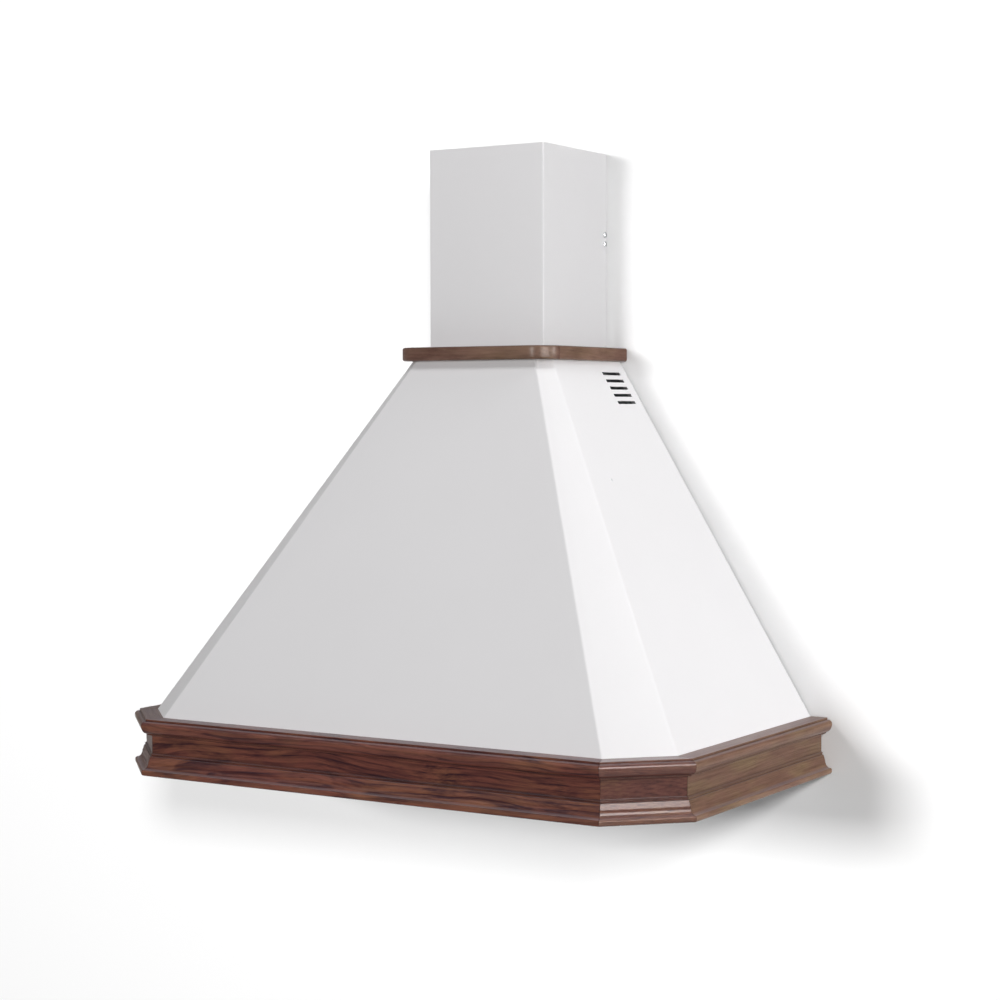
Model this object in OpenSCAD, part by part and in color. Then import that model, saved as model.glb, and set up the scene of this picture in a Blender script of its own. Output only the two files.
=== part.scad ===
// Wall-mounted kitchen hood: a steel canopy on a mitred wooden cornice, with a wooden collar and a chimney.
// X runs along the wall, +Y points into the wall and +Z up. The wall is the plane Y = 0, and Z = 0 is the
// underside of the cornice.

/* [Overall] */
// Width of the wooden cornice
hood_w = 900; // [820:1:1000]
// Depth of the wooden cornice, from the wall
hood_d = 506; // [480:1:560]
// Length cut off each front corner
corner_cut = 88; // [70:1:110]
// Height of the wooden cornice
wood_h = 78; // [74:1:92]
// Height of the collar's underside
collar_z = 575; // [550:1:620]
// Height of the chimney's top
top_z = 876; // [840:1:960]

/* [Cornice profile] */
// Thickness of the timber, from its nose to the sheet metal
rail_t = 32; // [30:0.5:38]
// Height of the square quirk under the top face
quirk_h = 3; // [2:0.5:5]
// Set-back of the quirk from the nose
quirk_in = 7; // [6:0.5:10]
// Radius of the nose's upper edge
nose_r = 5.5; // [4:0.5:6]
// Height of the ovolo under the nose
ovolo_h = 11.5; // [9:0.5:13]
// Depth of the ovolo
ovolo_d = 9; // [7:0.5:10]
// Height of the fillet under the ovolo
fillet_h = 2; // [1.5:0.5:3]
// Height of the cove under the fillet
cove_h = 3; // [2:0.5:4]
// Set-back of the flat frieze from the nose
frieze_in = 15.8; // [14.5:0.1:18]
// Height of the sloping arris under the frieze
arris_h = 2; // [1:0.5:3]
// Height of the groove under the arris
groove_h = 2.6; // [2:0.2:4]
// Depth of the groove
groove_d = 1.6; // [0.8:0.2:2.4]
// Height of the sloping band
band_h = 8; // [6:0.5:10]
// Set-back of the band's upper edge
band_in = 12.6; // [11:0.2:13.4]
// Height of the hollow flare
flare_h = 9.7; // [8:0.1:11]
// Set-back of the flare's upper edge
flare_in = 10; // [8:0.5:10.5]
// Height of the lip
lip_h = 8; // [7:0.5:10]
// Radius of the lip's lower edge
lip_r = 3; // [2:0.5:4]

/* [Canopy] */
// Thickness of the painted sheet
sheet = 1; // [0.8:0.1:1.5]
// Half width of the canopy's top
top_hw = 116; // [110:1:122]
// Depth of the canopy's top
top_d = 212; // [206:1:220]
// Length cut off the top's front corners
top_cut = 18; // [12:1:24]
// Height of the seat under the canopy's foot
seat_z = 36; // [30:1:44]
// Width of that seat
seat_w = 14; // [11:1:18]
// Number of vent slots on each side
slot_count = 5; // [3:1:7]
// Length of a vent slot
slot_l = 52; // [40:1:60]
// Height of a vent slot
slot_h = 4.2; // [3:0.1:6]
// Distance between vent slots
slot_pitch = 10.3; // [8:0.1:12]
// Distance from the collar down to the first slot
slot_drop = 18.5; // [14:0.5:26]
// Distance from the wall to the slots
slot_back = 20; // [16:1:30]
// Thickness of the galvanised back panel
back_t = 1.2; // [1:0.1:2]
// Width of the canopy's rear flanges
flange_w = 15; // [12:1:20]
// Radius of the small rivets on the side panels
rivet_r = 2.2; // [1.6:0.1:3]
// Height of the rivets
rivet_z = 410; // [360:1:440]
// Distance from the wall to the rivets
rivet_back = 207; // [180:1:220]

/* [Collar] */
// Half width of the wooden collar
collar_hw = 127.5; // [124:0.5:134]
// Depth of the wooden collar
collar_d = 227.5; // [222:0.5:236]
// Thickness of the collar boards
collar_h = 19; // [15:0.5:24]
// Radius of the collar's front corners
collar_r = 34; // [28:1:40]
// Radius of the collar's rounded edges
collar_edge = 3; // [2:0.5:5]
// Half width of the collar's opening
port_hw = 84; // [80:0.5:86]
// Depth of the collar's opening
port_d = 171; // [166:1:174]

/* [Chimney] */
// Half width of the chimney cover
chim_hw = 94.5; // [92:0.5:98]
// Depth of the chimney cover
chim_d = 182; // [178:1:188]
// Radius of the cover's folds
fold_r = 2; // [1.5:0.5:3]
// Thickness of the telescopic section's sheet
inner_t = 0.8; // [0.7:0.1:1.2]
// Gap between the cover and the telescopic section
slide_gap = 0.5; // [0.4:0.1:0.8]
// Width of both sections' rear flanges
chim_flange = 15; // [12:1:16]
// Height of the upper lock screw
lock_z = 759; // [740:1:780]
// Distance between the two lock screws
lock_pitch = 13.5; // [11:0.5:20]
// Distance from the wall to the lock screws
lock_back = 6.5; // [6:0.5:9]
// Travel of the telescopic section
tele_travel = 120; // [60:5:130]
// Distance between the chimney bracket's wall holes
bracket_pitch = 100; // [80:5:120]

/* [Fixings] */
// Distance between the hood's wall holes, across
wall_pitch_x = 300; // [260:5:340]
// Distance between the hood's wall holes, up
wall_pitch_z = 280; // [240:5:300]
// Radius of the wall holes
wall_hole_r = 4; // [3:0.25:5]
// Height of the lower wall holes
wall_hole_z = 120; // [100:5:140]
// Radius of the screws' shanks
screw_r = 1.75; // [1.5:0.05:2]
// Radius of the screws' heads
head_r = 4; // [3.4:0.1:4.6]
// Height of the screws' heads
head_h = 2.2; // [1.6:0.1:3]
// Gap round a screw in its hole
screw_gap = 0.1; // [0.05:0.05:0.3]

/* [Filters] */
// Width of a grease filter
filter_w = 255; // [220:1:280]
// Thickness of a grease filter
filter_h = 9; // [8:0.5:12]
// Width of the filter's rim
rim_w = 12; // [9:0.5:16]
// Thickness of the rim's sheet
rim_t = 1.2; // [0.8:0.1:1.5]
// Distance between the two filters
filter_gap = 27; // [22:1:40]
// Distance from the wall to the filter openings
filter_back = 78; // [70:1:84]
// Pitch of the filter mesh
mesh_pitch = 22; // [20:1:28]
// Width of a mesh strand
mesh_bar = 2.4; // [2:0.1:4]
// Travel of the filter latch
latch_travel = 6; // [4:0.5:7]

/* [Lamps and controls] */
// Distance from the hood's middle to each lamp
lamp_x = 205; // [150:5:240]
// Gap between the canopy's seat and the lamps
lamp_seat_gap = 2; // [1:0.5:6]
// Gap between the lamps and the filters
lamp_filter_gap = 8.5; // [7:0.5:20]
// Radius of the lamp's housing
lamp_r = 30; // [26:0.5:32]
// Height of the lamp's housing
lamp_h = 34; // [28:1:44]
// Width of a push button
button_w = 14; // [11:0.5:16]
// Distance between push buttons
button_pitch = 20; // [19:0.5:22]
// Travel of a push button
button_travel = 2.5; // [1.5:0.5:3]

/* [Blower] */
// Height of the impeller's axis
fan_z = 330; // [318:1:336]
// Outer radius of the impeller
fan_r = 75; // [70:1:76]
// Inner radius of the blades
fan_in = 60; // [56:1:63]
// Half length of the impeller
fan_hl = 48; // [40:1:50]
// Number of impeller blades
blade_count = 32; // [24:1:40]
// Thickness of a blade
blade_t = 0.8; // [0.6:0.1:1.2]
// Least radius of the scroll
scroll_r0 = 84; // [82:1:88]
// Greatest radius of the scroll
scroll_r1 = 140; // [134:1:142]
// Half width inside the scroll
scroll_hw = 58; // [56:1:62]
// Thickness of the scroll's sheet
scroll_t = 1.5; // [1:0.1:2]
// Height from the impeller's axis to the outlet flange
neck_h = 120; // [110:1:124]
// Outer radius of the duct collar
duct_r = 60; // [57:0.5:62]
// Wall of the duct collar
duct_t = 2; // [1.5:0.5:3]
// Height of the duct collar
duct_h = 68; // [60:1:76]
// Radius of the motor
motor_r = 42; // [38:1:46]
// Length of the motor
motor_l = 80; // [70:1:90]
// Radius of the motor shaft
shaft_r = 4; // [3:0.5:5]
// Radius of the cable that the gland takes
cable_r = 3.8; // [3:0.1:4.5]

/* [Hidden] */
$fn = 48;

// Colours as in the photo, and usual ones inside
white = [0.86, 0.85, 0.86];
walnut = [0.33, 0.18, 0.12];
zinc = [0.66, 0.68, 0.70];
alu = [0.78, 0.79, 0.80];
black = [0.08, 0.08, 0.08];
grey = [0.45, 0.46, 0.47];
glass = [0.93, 0.95, 0.96];

// A cut that must pass right through a face runs this far past it
over = 1;
// Clearance of pieces that move past each other without guiding each other
gap = 0.3;
// Clearance of a shaft that turns in its bore
run_gap = 0.05;

// Points of an elliptical arc from angle a0 to a1
function arc_pts(cx, cy, rx, ry, a0, a1, steps) =
    [for (i = [0:steps]) let (a = a0 + (a1 - a0) * i / steps) [cx + rx * cos(a), cy + ry * sin(a)]];

// Plan outline, from the rear left round to the rear right: half width hw, depth d, corner cut c, rear edge
// at y = back
function cut_outline(hw, d, c, back) =
    [[-hw, back], [-hw, -d + c], [-hw + c, -d], [hw - c, -d], [hw, -d + c], [hw, back]];

// A parallel inset shortens the cut by this share of the inset
cut_loss = 2 - sqrt(2);
function wood_outline(inset, back = 0) =
    cut_outline(hood_w / 2 - inset, hood_d - inset, corner_cut - cut_loss * inset, back);

// Section of the canopy at height z, inset by t, with its rear edge at y = back
foot_hw = hood_w / 2 - rail_t;
foot_d = hood_d - rail_t;
foot_cut = corner_cut - cut_loss * rail_t;
function along(a, b, z) = a + (b - a) * (z - wood_h) / (collar_z - wood_h);
function canopy_outline(z, t, back) = cut_outline(
    along(foot_hw, top_hw, z) - t,
    along(foot_d, top_d, z) - t,
    along(foot_cut, top_cut, z) - cut_loss * t,
    back);
// Sheet thickness measured level, on the sloping faces
skin = sheet * sqrt(1 + pow((foot_hw - top_hw) / (collar_z - wood_h), 2));

// Solid between two outlines of as many points, at heights z0 and z1
module frustum(lo, z0, hi, z1) {
    n = len(lo);
    polyhedron(
        points = concat([for (p = lo) [p[0], p[1], z0]], [for (p = hi) [p[0], p[1], z1]]),
        faces = concat(
            [[for (i = [0:n - 1]) i]],
            [[for (i = [n - 1:-1:0]) n + i]],
            [for (i = [0:n - 1]) [i, n + i, n + (i + 1) % n, (i + 1) % n]]));
}

module both_sides() {
    children();
    mirror([1, 0, 0]) children();
}

module box_at(lo, hi) translate(lo) cube(hi - lo);

// Extrudes a profile drawn in depth and height along X
module along_x(length) rotate([90, 0, 90]) linear_extrude(length, center = true) children();

// A screw with its head's seat at the origin and its shank down -Z
module screw(length, head = head_r) {
    cylinder(r = head, h = head_h * 0.55);
    translate([0, 0, head_h * 0.55]) cylinder(r1 = head, r2 = head * 0.6, h = head_h * 0.45);
    translate([0, 0, -length]) cylinder(r = screw_r, h = length + head_h * 0.2);
}
module screw_hole(length) translate([0, 0, -length - gap])
    cylinder(r = screw_r + screw_gap, h = length + gap + over);

// Cornice

// Profile of the moulding: distance from the nose, height
lip_in = 1.5;
groove_z = lip_h + flare_h + band_h;
frieze_z0 = groove_z + groove_h + arris_h;
nose_z = wood_h - quirk_h - nose_r;
ovolo_z = nose_z - ovolo_h;
cove_z = ovolo_z - fillet_h - cove_h;
cove_out = ovolo_d + 1.6;
cornice_profile = concat(
    [[rail_t, 0]],
    arc_pts(lip_r, lip_r, lip_r, lip_r, 270, 180, 5),
    [[0, lip_h - lip_in]],
    arc_pts(lip_in, lip_h + flare_h, flare_in - lip_in, flare_h, 270, 360, 8),
    [[band_in, groove_z], [band_in + groove_d, groove_z], [band_in + groove_d, groove_z + groove_h]],
    [[band_in + 0.6, groove_z + groove_h], [frieze_in, frieze_z0]],
    arc_pts(cove_out, cove_z, frieze_in - cove_out, cove_h, 0, 90, 4),
    [[ovolo_d, cove_z + cove_h], [ovolo_d, ovolo_z]],
    [for (p = arc_pts(ovolo_d, nose_z, ovolo_d, ovolo_h, 270, 180, 9)) if (p[1] > ovolo_z + 0.01) p],
    [for (p = arc_pts(nose_r, nose_z, nose_r, nose_r, 180, 90, 6)) if (p[1] > nose_z + 0.01) p],
    [[quirk_in, nose_z + nose_r], [quirk_in, wood_h], [rail_t, wood_h]]);

module moulding(length) along_x(length) polygon(cornice_profile);

// Length of moulding i, counted round the outline from the left side, cut to its mitres in plan
module mitred(i) {
    outer = wood_outline(-over);
    inner = wood_outline(rail_t + over);
    intersection() {
        children();
        linear_extrude(wood_h + over) polygon([outer[i], outer[i + 1], inner[i + 1], inner[i]]);
    }
}

// Places along the mouldings, with -Y turned outwards and the origin on the nose line
module on_front() translate([0, -hood_d, 0]) children();
module on_corner(side) translate([side * (hood_w - corner_cut) / 2, -hood_d + corner_cut / 2, 0])
    rotate(side * 45) children();
module on_side(side) translate([side * hood_w / 2, 0, 0]) rotate(side * 90) children();

side_l = hood_d - corner_cut;
cornice_screw_z = wood_h - 20;
cornice_screw_l = 13;
// Cornice screws: heads inside the canopy's skirt, shanks in the timber
module at_cornice_screws() {
    inside = rail_t + sheet;
    for (s = [-1, 0, 1])
        on_front() translate([s * hood_w / 3.4, inside, cornice_screw_z]) rotate([-90, 0, 0]) children();
    for (side = [-1, 1]) {
        on_corner(side) translate([0, inside, cornice_screw_z]) rotate([-90, 0, 0]) children();
        for (k = [0.3, 0.7]) on_side(side)
            translate([-side * side_l * k, inside, cornice_screw_z]) rotate([-90, 0, 0]) children();
    }
}

// Steel plates let into the underside across each mitre
plate_l = 52;
plate_w = 12;
plate_t = 1.5;
plate_screw = 18;
plate_screw_l = 7;
// The plates lie this deep, so that their screws' heads stay flush
plate_z = head_h + 0.2;
module at_mitres() {
    inward = [0, rail_t * 0.56, 0];
    for (side = [-1, 1]) {
        translate([side * (hood_w / 2 - corner_cut), -hood_d, 0]) rotate(side * 22.5)
            translate(inward) children();
        translate([side * hood_w / 2, -hood_d + corner_cut, 0]) rotate(side * 67.5)
            translate(inward) children();
    }
}
module mitre_plate(grow) {
    box_at([-plate_l / 2 - grow, -plate_w / 2 - grow, grow > 0 ? -over : plate_z],
        [plate_l / 2 + grow, plate_w / 2 + grow, plate_z + plate_t]);
}
module mitre_plate_screws() {
    for (s = [-1, 1]) translate([s * plate_screw, 0, plate_z]) rotate([180, 0, 0]) children();
}

module rail_cuts() {
    at_cornice_screws() screw_hole(cornice_screw_l + sheet);
    at_mitres() {
        mitre_plate(screw_gap);
        mitre_plate_screws() screw_hole(plate_screw_l);
    }
}

module front_rail() color(walnut) difference() {
    mitred(2) on_front() moulding(hood_w);
    rail_cuts();
}
module corner_rail(side) color(walnut) difference() {
    mitred(side < 0 ? 1 : 3) on_corner(side) moulding(corner_cut * 2);
    rail_cuts();
}
module side_rail(side) color(walnut) difference() {
    mitred(side < 0 ? 0 : 4) on_side(side) moulding(hood_d * 2);
    rail_cuts();
}

module mitre_plates() color(zinc) difference() {
    at_mitres() mitre_plate(0);
    at_mitres() mitre_plate_screws() screw_hole(plate_t + over);
}

module cornice_screws() color(zinc) {
    at_cornice_screws() screw(cornice_screw_l + sheet);
    at_mitres() mitre_plate_screws() screw(plate_screw_l, head_r * 0.8);
}

// Canopy

slot_z0 = collar_z - slot_drop;
function side_x(z) = along(foot_hw, top_hw, z);
side_tilt = atan((foot_hw - top_hw) / (collar_z - wood_h));

module vent_slots() {
    for (i = [0:slot_count - 1]) {
        z = slot_z0 - i * slot_pitch;
        box_at([side_x(z) - 12, -slot_back - slot_l, z - slot_h / 2],
            [side_x(z) + 12, -slot_back, z + slot_h / 2]);
    }
}

module at_rivet() translate([side_x(rivet_z), -rivet_back, rivet_z])
    rotate([0, 90 - side_tilt, 0]) children();

module at_pan_screws() {
    seat_mid = rail_t + seat_w / 2;
    for (s = [-1, -0.34, 0.34, 1]) on_front() translate([s * hood_w * 0.35, seat_mid, 0]) children();
    for (side = [-1, 1]) {
        on_corner(side) translate([0, seat_mid, 0]) children();
        for (k = [0.15, 0.5, 0.85]) on_side(side) translate([-side * side_l * k, seat_mid, 0]) children();
        for (x = [0.12, 0.32]) translate([side * hood_w * x, -back_t - seat_w / 2, 0]) children();
    }
}

module pan_screw_holes() at_pan_screws() translate([0, 0, -over])
    cylinder(r = screw_r + screw_gap, h = sheet + 2 * over);

collar_screw_side = (port_hw + top_hw) / 2 - 2;
collar_screw_front = (port_d + top_d) / 2;
module at_collar_screws() {
    for (side = [-1, 1]) {
        for (k = [0.26, 0.82])
            translate([side * collar_screw_side, -port_d * k, collar_z - sheet]) rotate([180, 0, 0]) children();
        translate([side * port_hw * 0.6, -collar_screw_front, collar_z - sheet])
            rotate([180, 0, 0]) children();
    }
}

// The canopy's space, inset by t and grown by e below and above
module canopy_solid(t, back, e) {
    z0 = wood_h - e;
    z1 = collar_z + e;
    frustum(canopy_outline(z0, t, back), z0, canopy_outline(z1, t, back), z1);
}

module canopy_shell() color(white) difference() {
    union() {
        // Sloping faces
        difference() {
            canopy_solid(0, -back_t, 0);
            canopy_solid(skin, over, over);
        }
        // Rear flanges against the back panel
        difference() {
            intersection() {
                canopy_solid(0.1, -back_t, 0);
                box_at([-hood_w, -back_t - sheet, wood_h], [hood_w, -back_t, collar_z]);
            }
            canopy_solid(flange_w, over, over);
        }
        // Skirt inside the cornice, and its seat for the pan
        translate([0, 0, seat_z]) linear_extrude(wood_h - seat_z + 0.5) difference() {
            polygon(wood_outline(rail_t, -back_t));
            polygon(wood_outline(rail_t + sheet, over));
        }
        translate([0, 0, seat_z]) linear_extrude(sheet) difference() {
            polygon(wood_outline(rail_t, -back_t));
            polygon(wood_outline(rail_t + seat_w, over));
        }
        // Top flange under the collar
        translate([0, 0, collar_z - sheet]) linear_extrude(sheet) difference() {
            polygon(canopy_outline(collar_z, 0.2, -back_t));
            polygon([[-port_hw, over], [-port_hw, -port_d], [port_hw, -port_d], [port_hw, over]]);
        }
    }
    both_sides() {
        vent_slots();
        at_rivet() cylinder(r = rivet_r * 0.6 + screw_gap, h = 20, center = true);
    }
    at_cornice_screws() screw_hole(sheet + over);
    translate([0, 0, seat_z]) pan_screw_holes();
    at_collar_screws() screw_hole(sheet + over);
}

module panel_rivets() color(zinc) both_sides() at_rivet() {
    intersection() {
        translate([0, 0, -rivet_r]) sphere(r = rivet_r * 1.5);
        cylinder(r = rivet_r, h = rivet_r);
    }
    translate([0, 0, -sheet]) cylinder(r = rivet_r * 0.6, h = sheet + 0.2);
    translate([0, 0, -sheet - over]) cylinder(r = rivet_r, h = over);
}

module back_panel() color(zinc) difference() {
    union() {
        rotate([90, 0, 0]) linear_extrude(back_t) polygon([
            [-foot_hw + gap, 0], [-foot_hw + gap, wood_h], [-top_hw, collar_z - sheet],
            [top_hw, collar_z - sheet], [foot_hw - gap, wood_h], [foot_hw - gap, 0]]);
        // Lower fold that carries the pan's rear edge
        box_at([-foot_hw + seat_w + gap, -back_t - seat_w, seat_z],
            [foot_hw - seat_w - gap, -back_t / 2, seat_z + sheet]);
    }
    for (x = [-0.5, 0.5], z = [0, 1])
        translate([x * wall_pitch_x, over, wall_hole_z + z * wall_pitch_z]) rotate([90, 0, 0])
            cylinder(r = wall_hole_r, h = back_t + 2 * over);
    translate([0, 0, seat_z]) pan_screw_holes();
    at_bracket_screws() screw_hole(strap_t + back_t + over);
}

// Base pan with the filter openings, lamp holes and control cut-out

pan_top = seat_z;
pan_z = pan_top - sheet;
open_gap = 1.5;
// Distance from the wall to the middle of the lamps and buttons
front_y = foot_d - seat_w - lamp_seat_gap - lamp_r;
// The filters fill the depth between the rear strip and the lamps
filter_x = (filter_w + filter_gap) / 2;
filter_rear = -filter_back - open_gap;
filter_front = -front_y + lamp_r + lamp_filter_gap;
filter_d = filter_rear - filter_front;
filter_z = pan_z - 3;
button_count = 5;
sleeve_l = button_pitch * button_count + 12;
sleeve_w = button_w + 12;

module base_pan() color(white) difference() {
    translate([0, 0, pan_z]) linear_extrude(sheet) polygon(wood_outline(rail_t + gap, -back_t - gap));
    for (s = [-1, 1]) {
        box_at([s * filter_x - filter_w / 2 - open_gap, filter_front - open_gap, pan_z - over],
            [s * filter_x + filter_w / 2 + open_gap, -filter_back, pan_top + over]);
        translate([s * lamp_x, -front_y, pan_z - over]) cylinder(r = lamp_r - 1.2, h = sheet + 2 * over);
    }
    box_at([-sleeve_l / 2 - gap, -front_y - sleeve_w / 2 - gap, pan_z - over],
        [sleeve_l / 2 + gap, -front_y + sleeve_w / 2 + gap, pan_top + over]);
    translate([0, 0, pan_z]) pan_screw_holes();
}

module pan_screws() color(zinc) translate([0, 0, pan_z])
    at_pan_screws() rotate([180, 0, 0]) screw(sheet * 2 + 4);

// Grease filters

latch_y = filter_front + rim_w;
latch_l = 14;
latch_w = 53;
pocket_l = latch_l + latch_travel + 1;
pocket_w = latch_w + 2 * gap;
latch_frame_w = pocket_w + 20;
latch_frame_l = pocket_l + 8;
bolt_w = 24;
bolt_z = filter_z + filter_h / 2;
tab_w = 24;
tab_z = pan_top + gap;

module filter_frame(side) color(alu) translate([side * filter_x, 0, 0]) difference() {
    union() {
        difference() {
            box_at([-filter_w / 2, filter_front, filter_z], [filter_w / 2, filter_rear, filter_z + filter_h]);
            // Channel that holds the mesh
            box_at([-filter_w / 2 + rim_t, filter_front + rim_t, filter_z + rim_t],
                [filter_w / 2 - rim_t, filter_rear - rim_t, filter_z + filter_h - rim_t]);
            // Window above and below the mesh
            box_at([-filter_w / 2 + rim_w, filter_front + rim_w, filter_z - over],
                [filter_w / 2 - rim_w, filter_rear - rim_w, filter_z + filter_h + over]);
        }
        // Solid seat of the latch
        box_at([-latch_frame_w / 2, filter_front, filter_z],
            [latch_frame_w / 2, latch_y + latch_frame_l - 4, filter_z + filter_h]);
        // Rear tabs that rest on the pan
        for (s = [-1, 1])
            box_at([s * filter_w / 3 - tab_w / 2, filter_rear - over, tab_z],
                [s * filter_w / 3 + tab_w / 2, filter_rear + 9, tab_z + rim_t]);
    }
    box_at([-pocket_w / 2, latch_y - 4, filter_z - over],
        [pocket_w / 2, latch_y - 4 + pocket_l, filter_z + filter_h + over]);
    box_at([-bolt_w / 2 - gap, filter_front - over, bolt_z - 1 - gap],
        [bolt_w / 2 + gap, latch_y, bolt_z + 1 + gap]);
}

// Diamond lattice that fills the frame, cut away round the latch's seat
module filter_mesh(side) color(alu) translate([side * filter_x, 0, filter_z + rim_t + gap])
linear_extrude(filter_h - 2 * rim_t - 2 * gap) difference() {
    w = filter_w - 2 * rim_t - 2 * gap;
    d = filter_d - 2 * rim_t - 2 * gap;
    window_w = filter_w - 2 * rim_w;
    window_d = filter_d - 2 * rim_w;
    nx = floor(window_w / mesh_pitch);
    ny = floor(window_d / mesh_pitch);
    mid_y = (filter_front + filter_rear) / 2;
    seat_y = filter_front + rim_w + latch_frame_l + mesh_pitch / 2;
    seat_x = latch_frame_w / 2 + mesh_pitch / 2;
    translate([0, mid_y]) square([w, d], center = true);
    // Two rows of diamonds, one set half a pitch across and along from the other
    for (k = [0, 1], i = [0:nx - 1 - k], j = [0:ny - 1 - k]) {
        x = (i - (nx - 1 - k) / 2) * mesh_pitch;
        y = mid_y + (j - (ny - 1 - k) / 2) * mesh_pitch;
        half = mesh_pitch / 2 - mesh_bar / sqrt(2);
        if (y > seat_y || abs(x) > seat_x)
            translate([x, y]) polygon([[-half, 0], [0, -half], [half, 0], [0, half]]);
    }
    translate([-latch_frame_w / 2 - gap, filter_front - over])
        square([latch_frame_w + 2 * gap, rim_w + latch_frame_l - 4 + over + gap]);
}

module filter_latch(side) color(black) translate([side * filter_x, latch_y - 4 + 0.5, 0]) {
    top = filter_z + filter_h;
    box_at([-latch_w / 2, 0, filter_z - 1], [latch_w / 2, latch_l, top + gap]);
    // Ears that hang the latch on the frame
    box_at([-latch_w / 2 - 4, 0, top + gap], [latch_w / 2 + 4, latch_l, top + gap + 1.5]);
    // Bolt towards the pan's front edge
    box_at([-bolt_w / 2, -(rim_w - 4) - 0.5, bolt_z - 1], [bolt_w / 2, over, bolt_z + 1]);
    // Finger grip, a rounded rib
    translate([0, latch_l - 5, filter_z - 1]) rotate([0, 90, 0]) difference() {
        linear_extrude(latch_w - 10, center = true) polygon(concat(
            [[0, -3], [4, -3]], arc_pts(4, 0, 3, 3, 270, 450, 8), [[0, 3]]));
        translate([5, 3.6, 0]) cylinder(r = 2.4, h = latch_w, center = true, $fn = 24);
    }
}

// Lamps

bezel_z = pan_z - 2.4;
sleeve_r = lamp_r - 1.2 - gap;
lens_r = sleeve_r - 1.6;
module at_lamp(side) translate([side * lamp_x, -front_y, 0]) children();

module lamp_housing(side) color(zinc) at_lamp(side) difference() {
    translate([0, 0, pan_top]) cylinder(r = lamp_r, h = lamp_h);
    translate([0, 0, pan_top - over]) cylinder(r = lamp_r - 1, h = lamp_h + over - 1.2);
    // Vents in the crown
    for (a = [0:60:300])
        rotate(a) translate([lamp_r * 0.6, 0, pan_top + lamp_h - 3]) cylinder(r = 2.5, h = 4);
}

module lamp_bezel(side) color(zinc) at_lamp(side) rotate_extrude() polygon(concat(
    [[lens_r - 2, bezel_z + 0.8], [lens_r - 0.6, bezel_z]],
    arc_pts(lamp_r + 3, bezel_z + 2, 2, 2, 270, 360, 4),
    [[lamp_r + 5, pan_z], [sleeve_r, pan_z], [sleeve_r, pan_top + 9],
        [lens_r + 0.1, pan_top + 9], [lens_r + 0.1, pan_z], [lens_r - 2, pan_z]]));

module lamp_lens(side) color(glass) at_lamp(side) translate([0, 0, pan_z])
    cylinder(r = lens_r - screw_gap, h = 2.2);

module lamp_bulbs() color(glass) for (side = [-1, 1]) at_lamp(side) {
    holder_z = pan_top + lamp_h - 1.2;
    tip_z = holder_z - lamp_h / 2;
    translate([0, 0, holder_z - lamp_h * 0.27]) cylinder(r = 7, h = lamp_h * 0.27);
    translate([0, 0, tip_z]) cylinder(r = 4.5, h = lamp_h * 0.25);
    translate([0, 0, tip_z]) sphere(r = 4.5);
}

// Controls

button_top = pan_top + 9;
// Block round the row of buttons, longer than the sleeve by x and wider by y at each end
module button_block(x, y, z0, z1) translate([0, -front_y, 0])
    box_at([-sleeve_l / 2 - x, -sleeve_w / 2 - y, z0], [sleeve_l / 2 + x, sleeve_w / 2 + y, z1]);

module control_bezel() color(black) difference() {
    union() {
        button_block(6, 5, bezel_z, pan_z);
        button_block(0, 0, pan_z - over, button_top);
    }
    button_block(-1.5, -1.5, pan_z - 0.4, button_top + over);
    for (i = [0:button_count - 1]) at_button(i) translate([0, 0, bezel_z - over])
        linear_extrude(pan_top - bezel_z + over) square(button_w + 2 * gap, center = true);
}

box_h = 26;
box_t = 2;
module control_box() color(grey) difference() {
    button_block(8, 4, pan_top, pan_top + box_h);
    button_block(8 - box_t, 4 - box_t, pan_top - over, pan_top + box_h - box_t);
    // Cable outlet
    translate([sleeve_l / 3, -front_y + sleeve_w / 2, pan_top + box_h * 0.6]) rotate([-90, 0, 0])
        cylinder(r = 4, h = 8);
}

module at_button(i) translate([(i - (button_count - 1) / 2) * button_pitch, -front_y, 0]) children();

// A cap that stands out below the bezel by a little more than its travel, with a collar that keeps it in
module button(i) color(black) at_button(i) {
    half = button_w / 2;
    cap_z0 = bezel_z - button_travel - 0.5;
    difference() {
        box_at([-half, -half, cap_z0], [half, half, pan_z + 3]);
        // Dished finger face
        translate([0, 0, cap_z0 - 24]) sphere(r = 24.8);
    }
    box_at([-half - 1.4, -half - 1.4, pan_z - 0.4 + gap], [half + 1.4, half + 1.4, pan_z + 1.2]);
    translate([0, 0, pan_z + 3 - over]) cylinder(r = 4, h = 4);
}

// Wooden collar

// Section of a board: distance from the outer edge, height, with rounded outer edges
function board_section(width) = concat(
    [[width, 0]],
    arc_pts(collar_edge, collar_edge, collar_edge, collar_edge, 270, 180, 5),
    arc_pts(collar_edge, collar_h - collar_edge, collar_edge, collar_edge, 180, 90, 5),
    [[width, collar_h]]);

collar_corner_x = collar_hw - collar_r;
collar_corner_y = collar_d - collar_r;

module collar_front_board() color(walnut) difference() {
    translate([0, 0, collar_z]) union() {
        translate([0, -collar_d, 0]) along_x(2 * collar_corner_x) polygon(board_section(collar_r));
        // Tongue between the side boards
        box_at([-port_hw, -collar_corner_y - over, 0], [port_hw, -port_d, collar_h]);
        both_sides() translate([collar_corner_x, -collar_corner_y, 0]) rotate(-90)
            rotate_extrude(angle = 90) polygon([for (p = board_section(collar_r)) [collar_r - p[0], p[1]]]);
    }
    at_collar_screws() screw_hole(12);
}
module collar_board(side) color(walnut) difference() {
    translate([side * collar_hw, 0, collar_z]) rotate(side * 90)
        translate([-side * collar_corner_y / 2, 0, 0])
            along_x(collar_corner_y) polygon(board_section(collar_hw - port_hw));
    at_collar_screws() screw_hole(12);
}
module collar_screws() color(zinc) at_collar_screws() screw(11);

// Chimney

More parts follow.
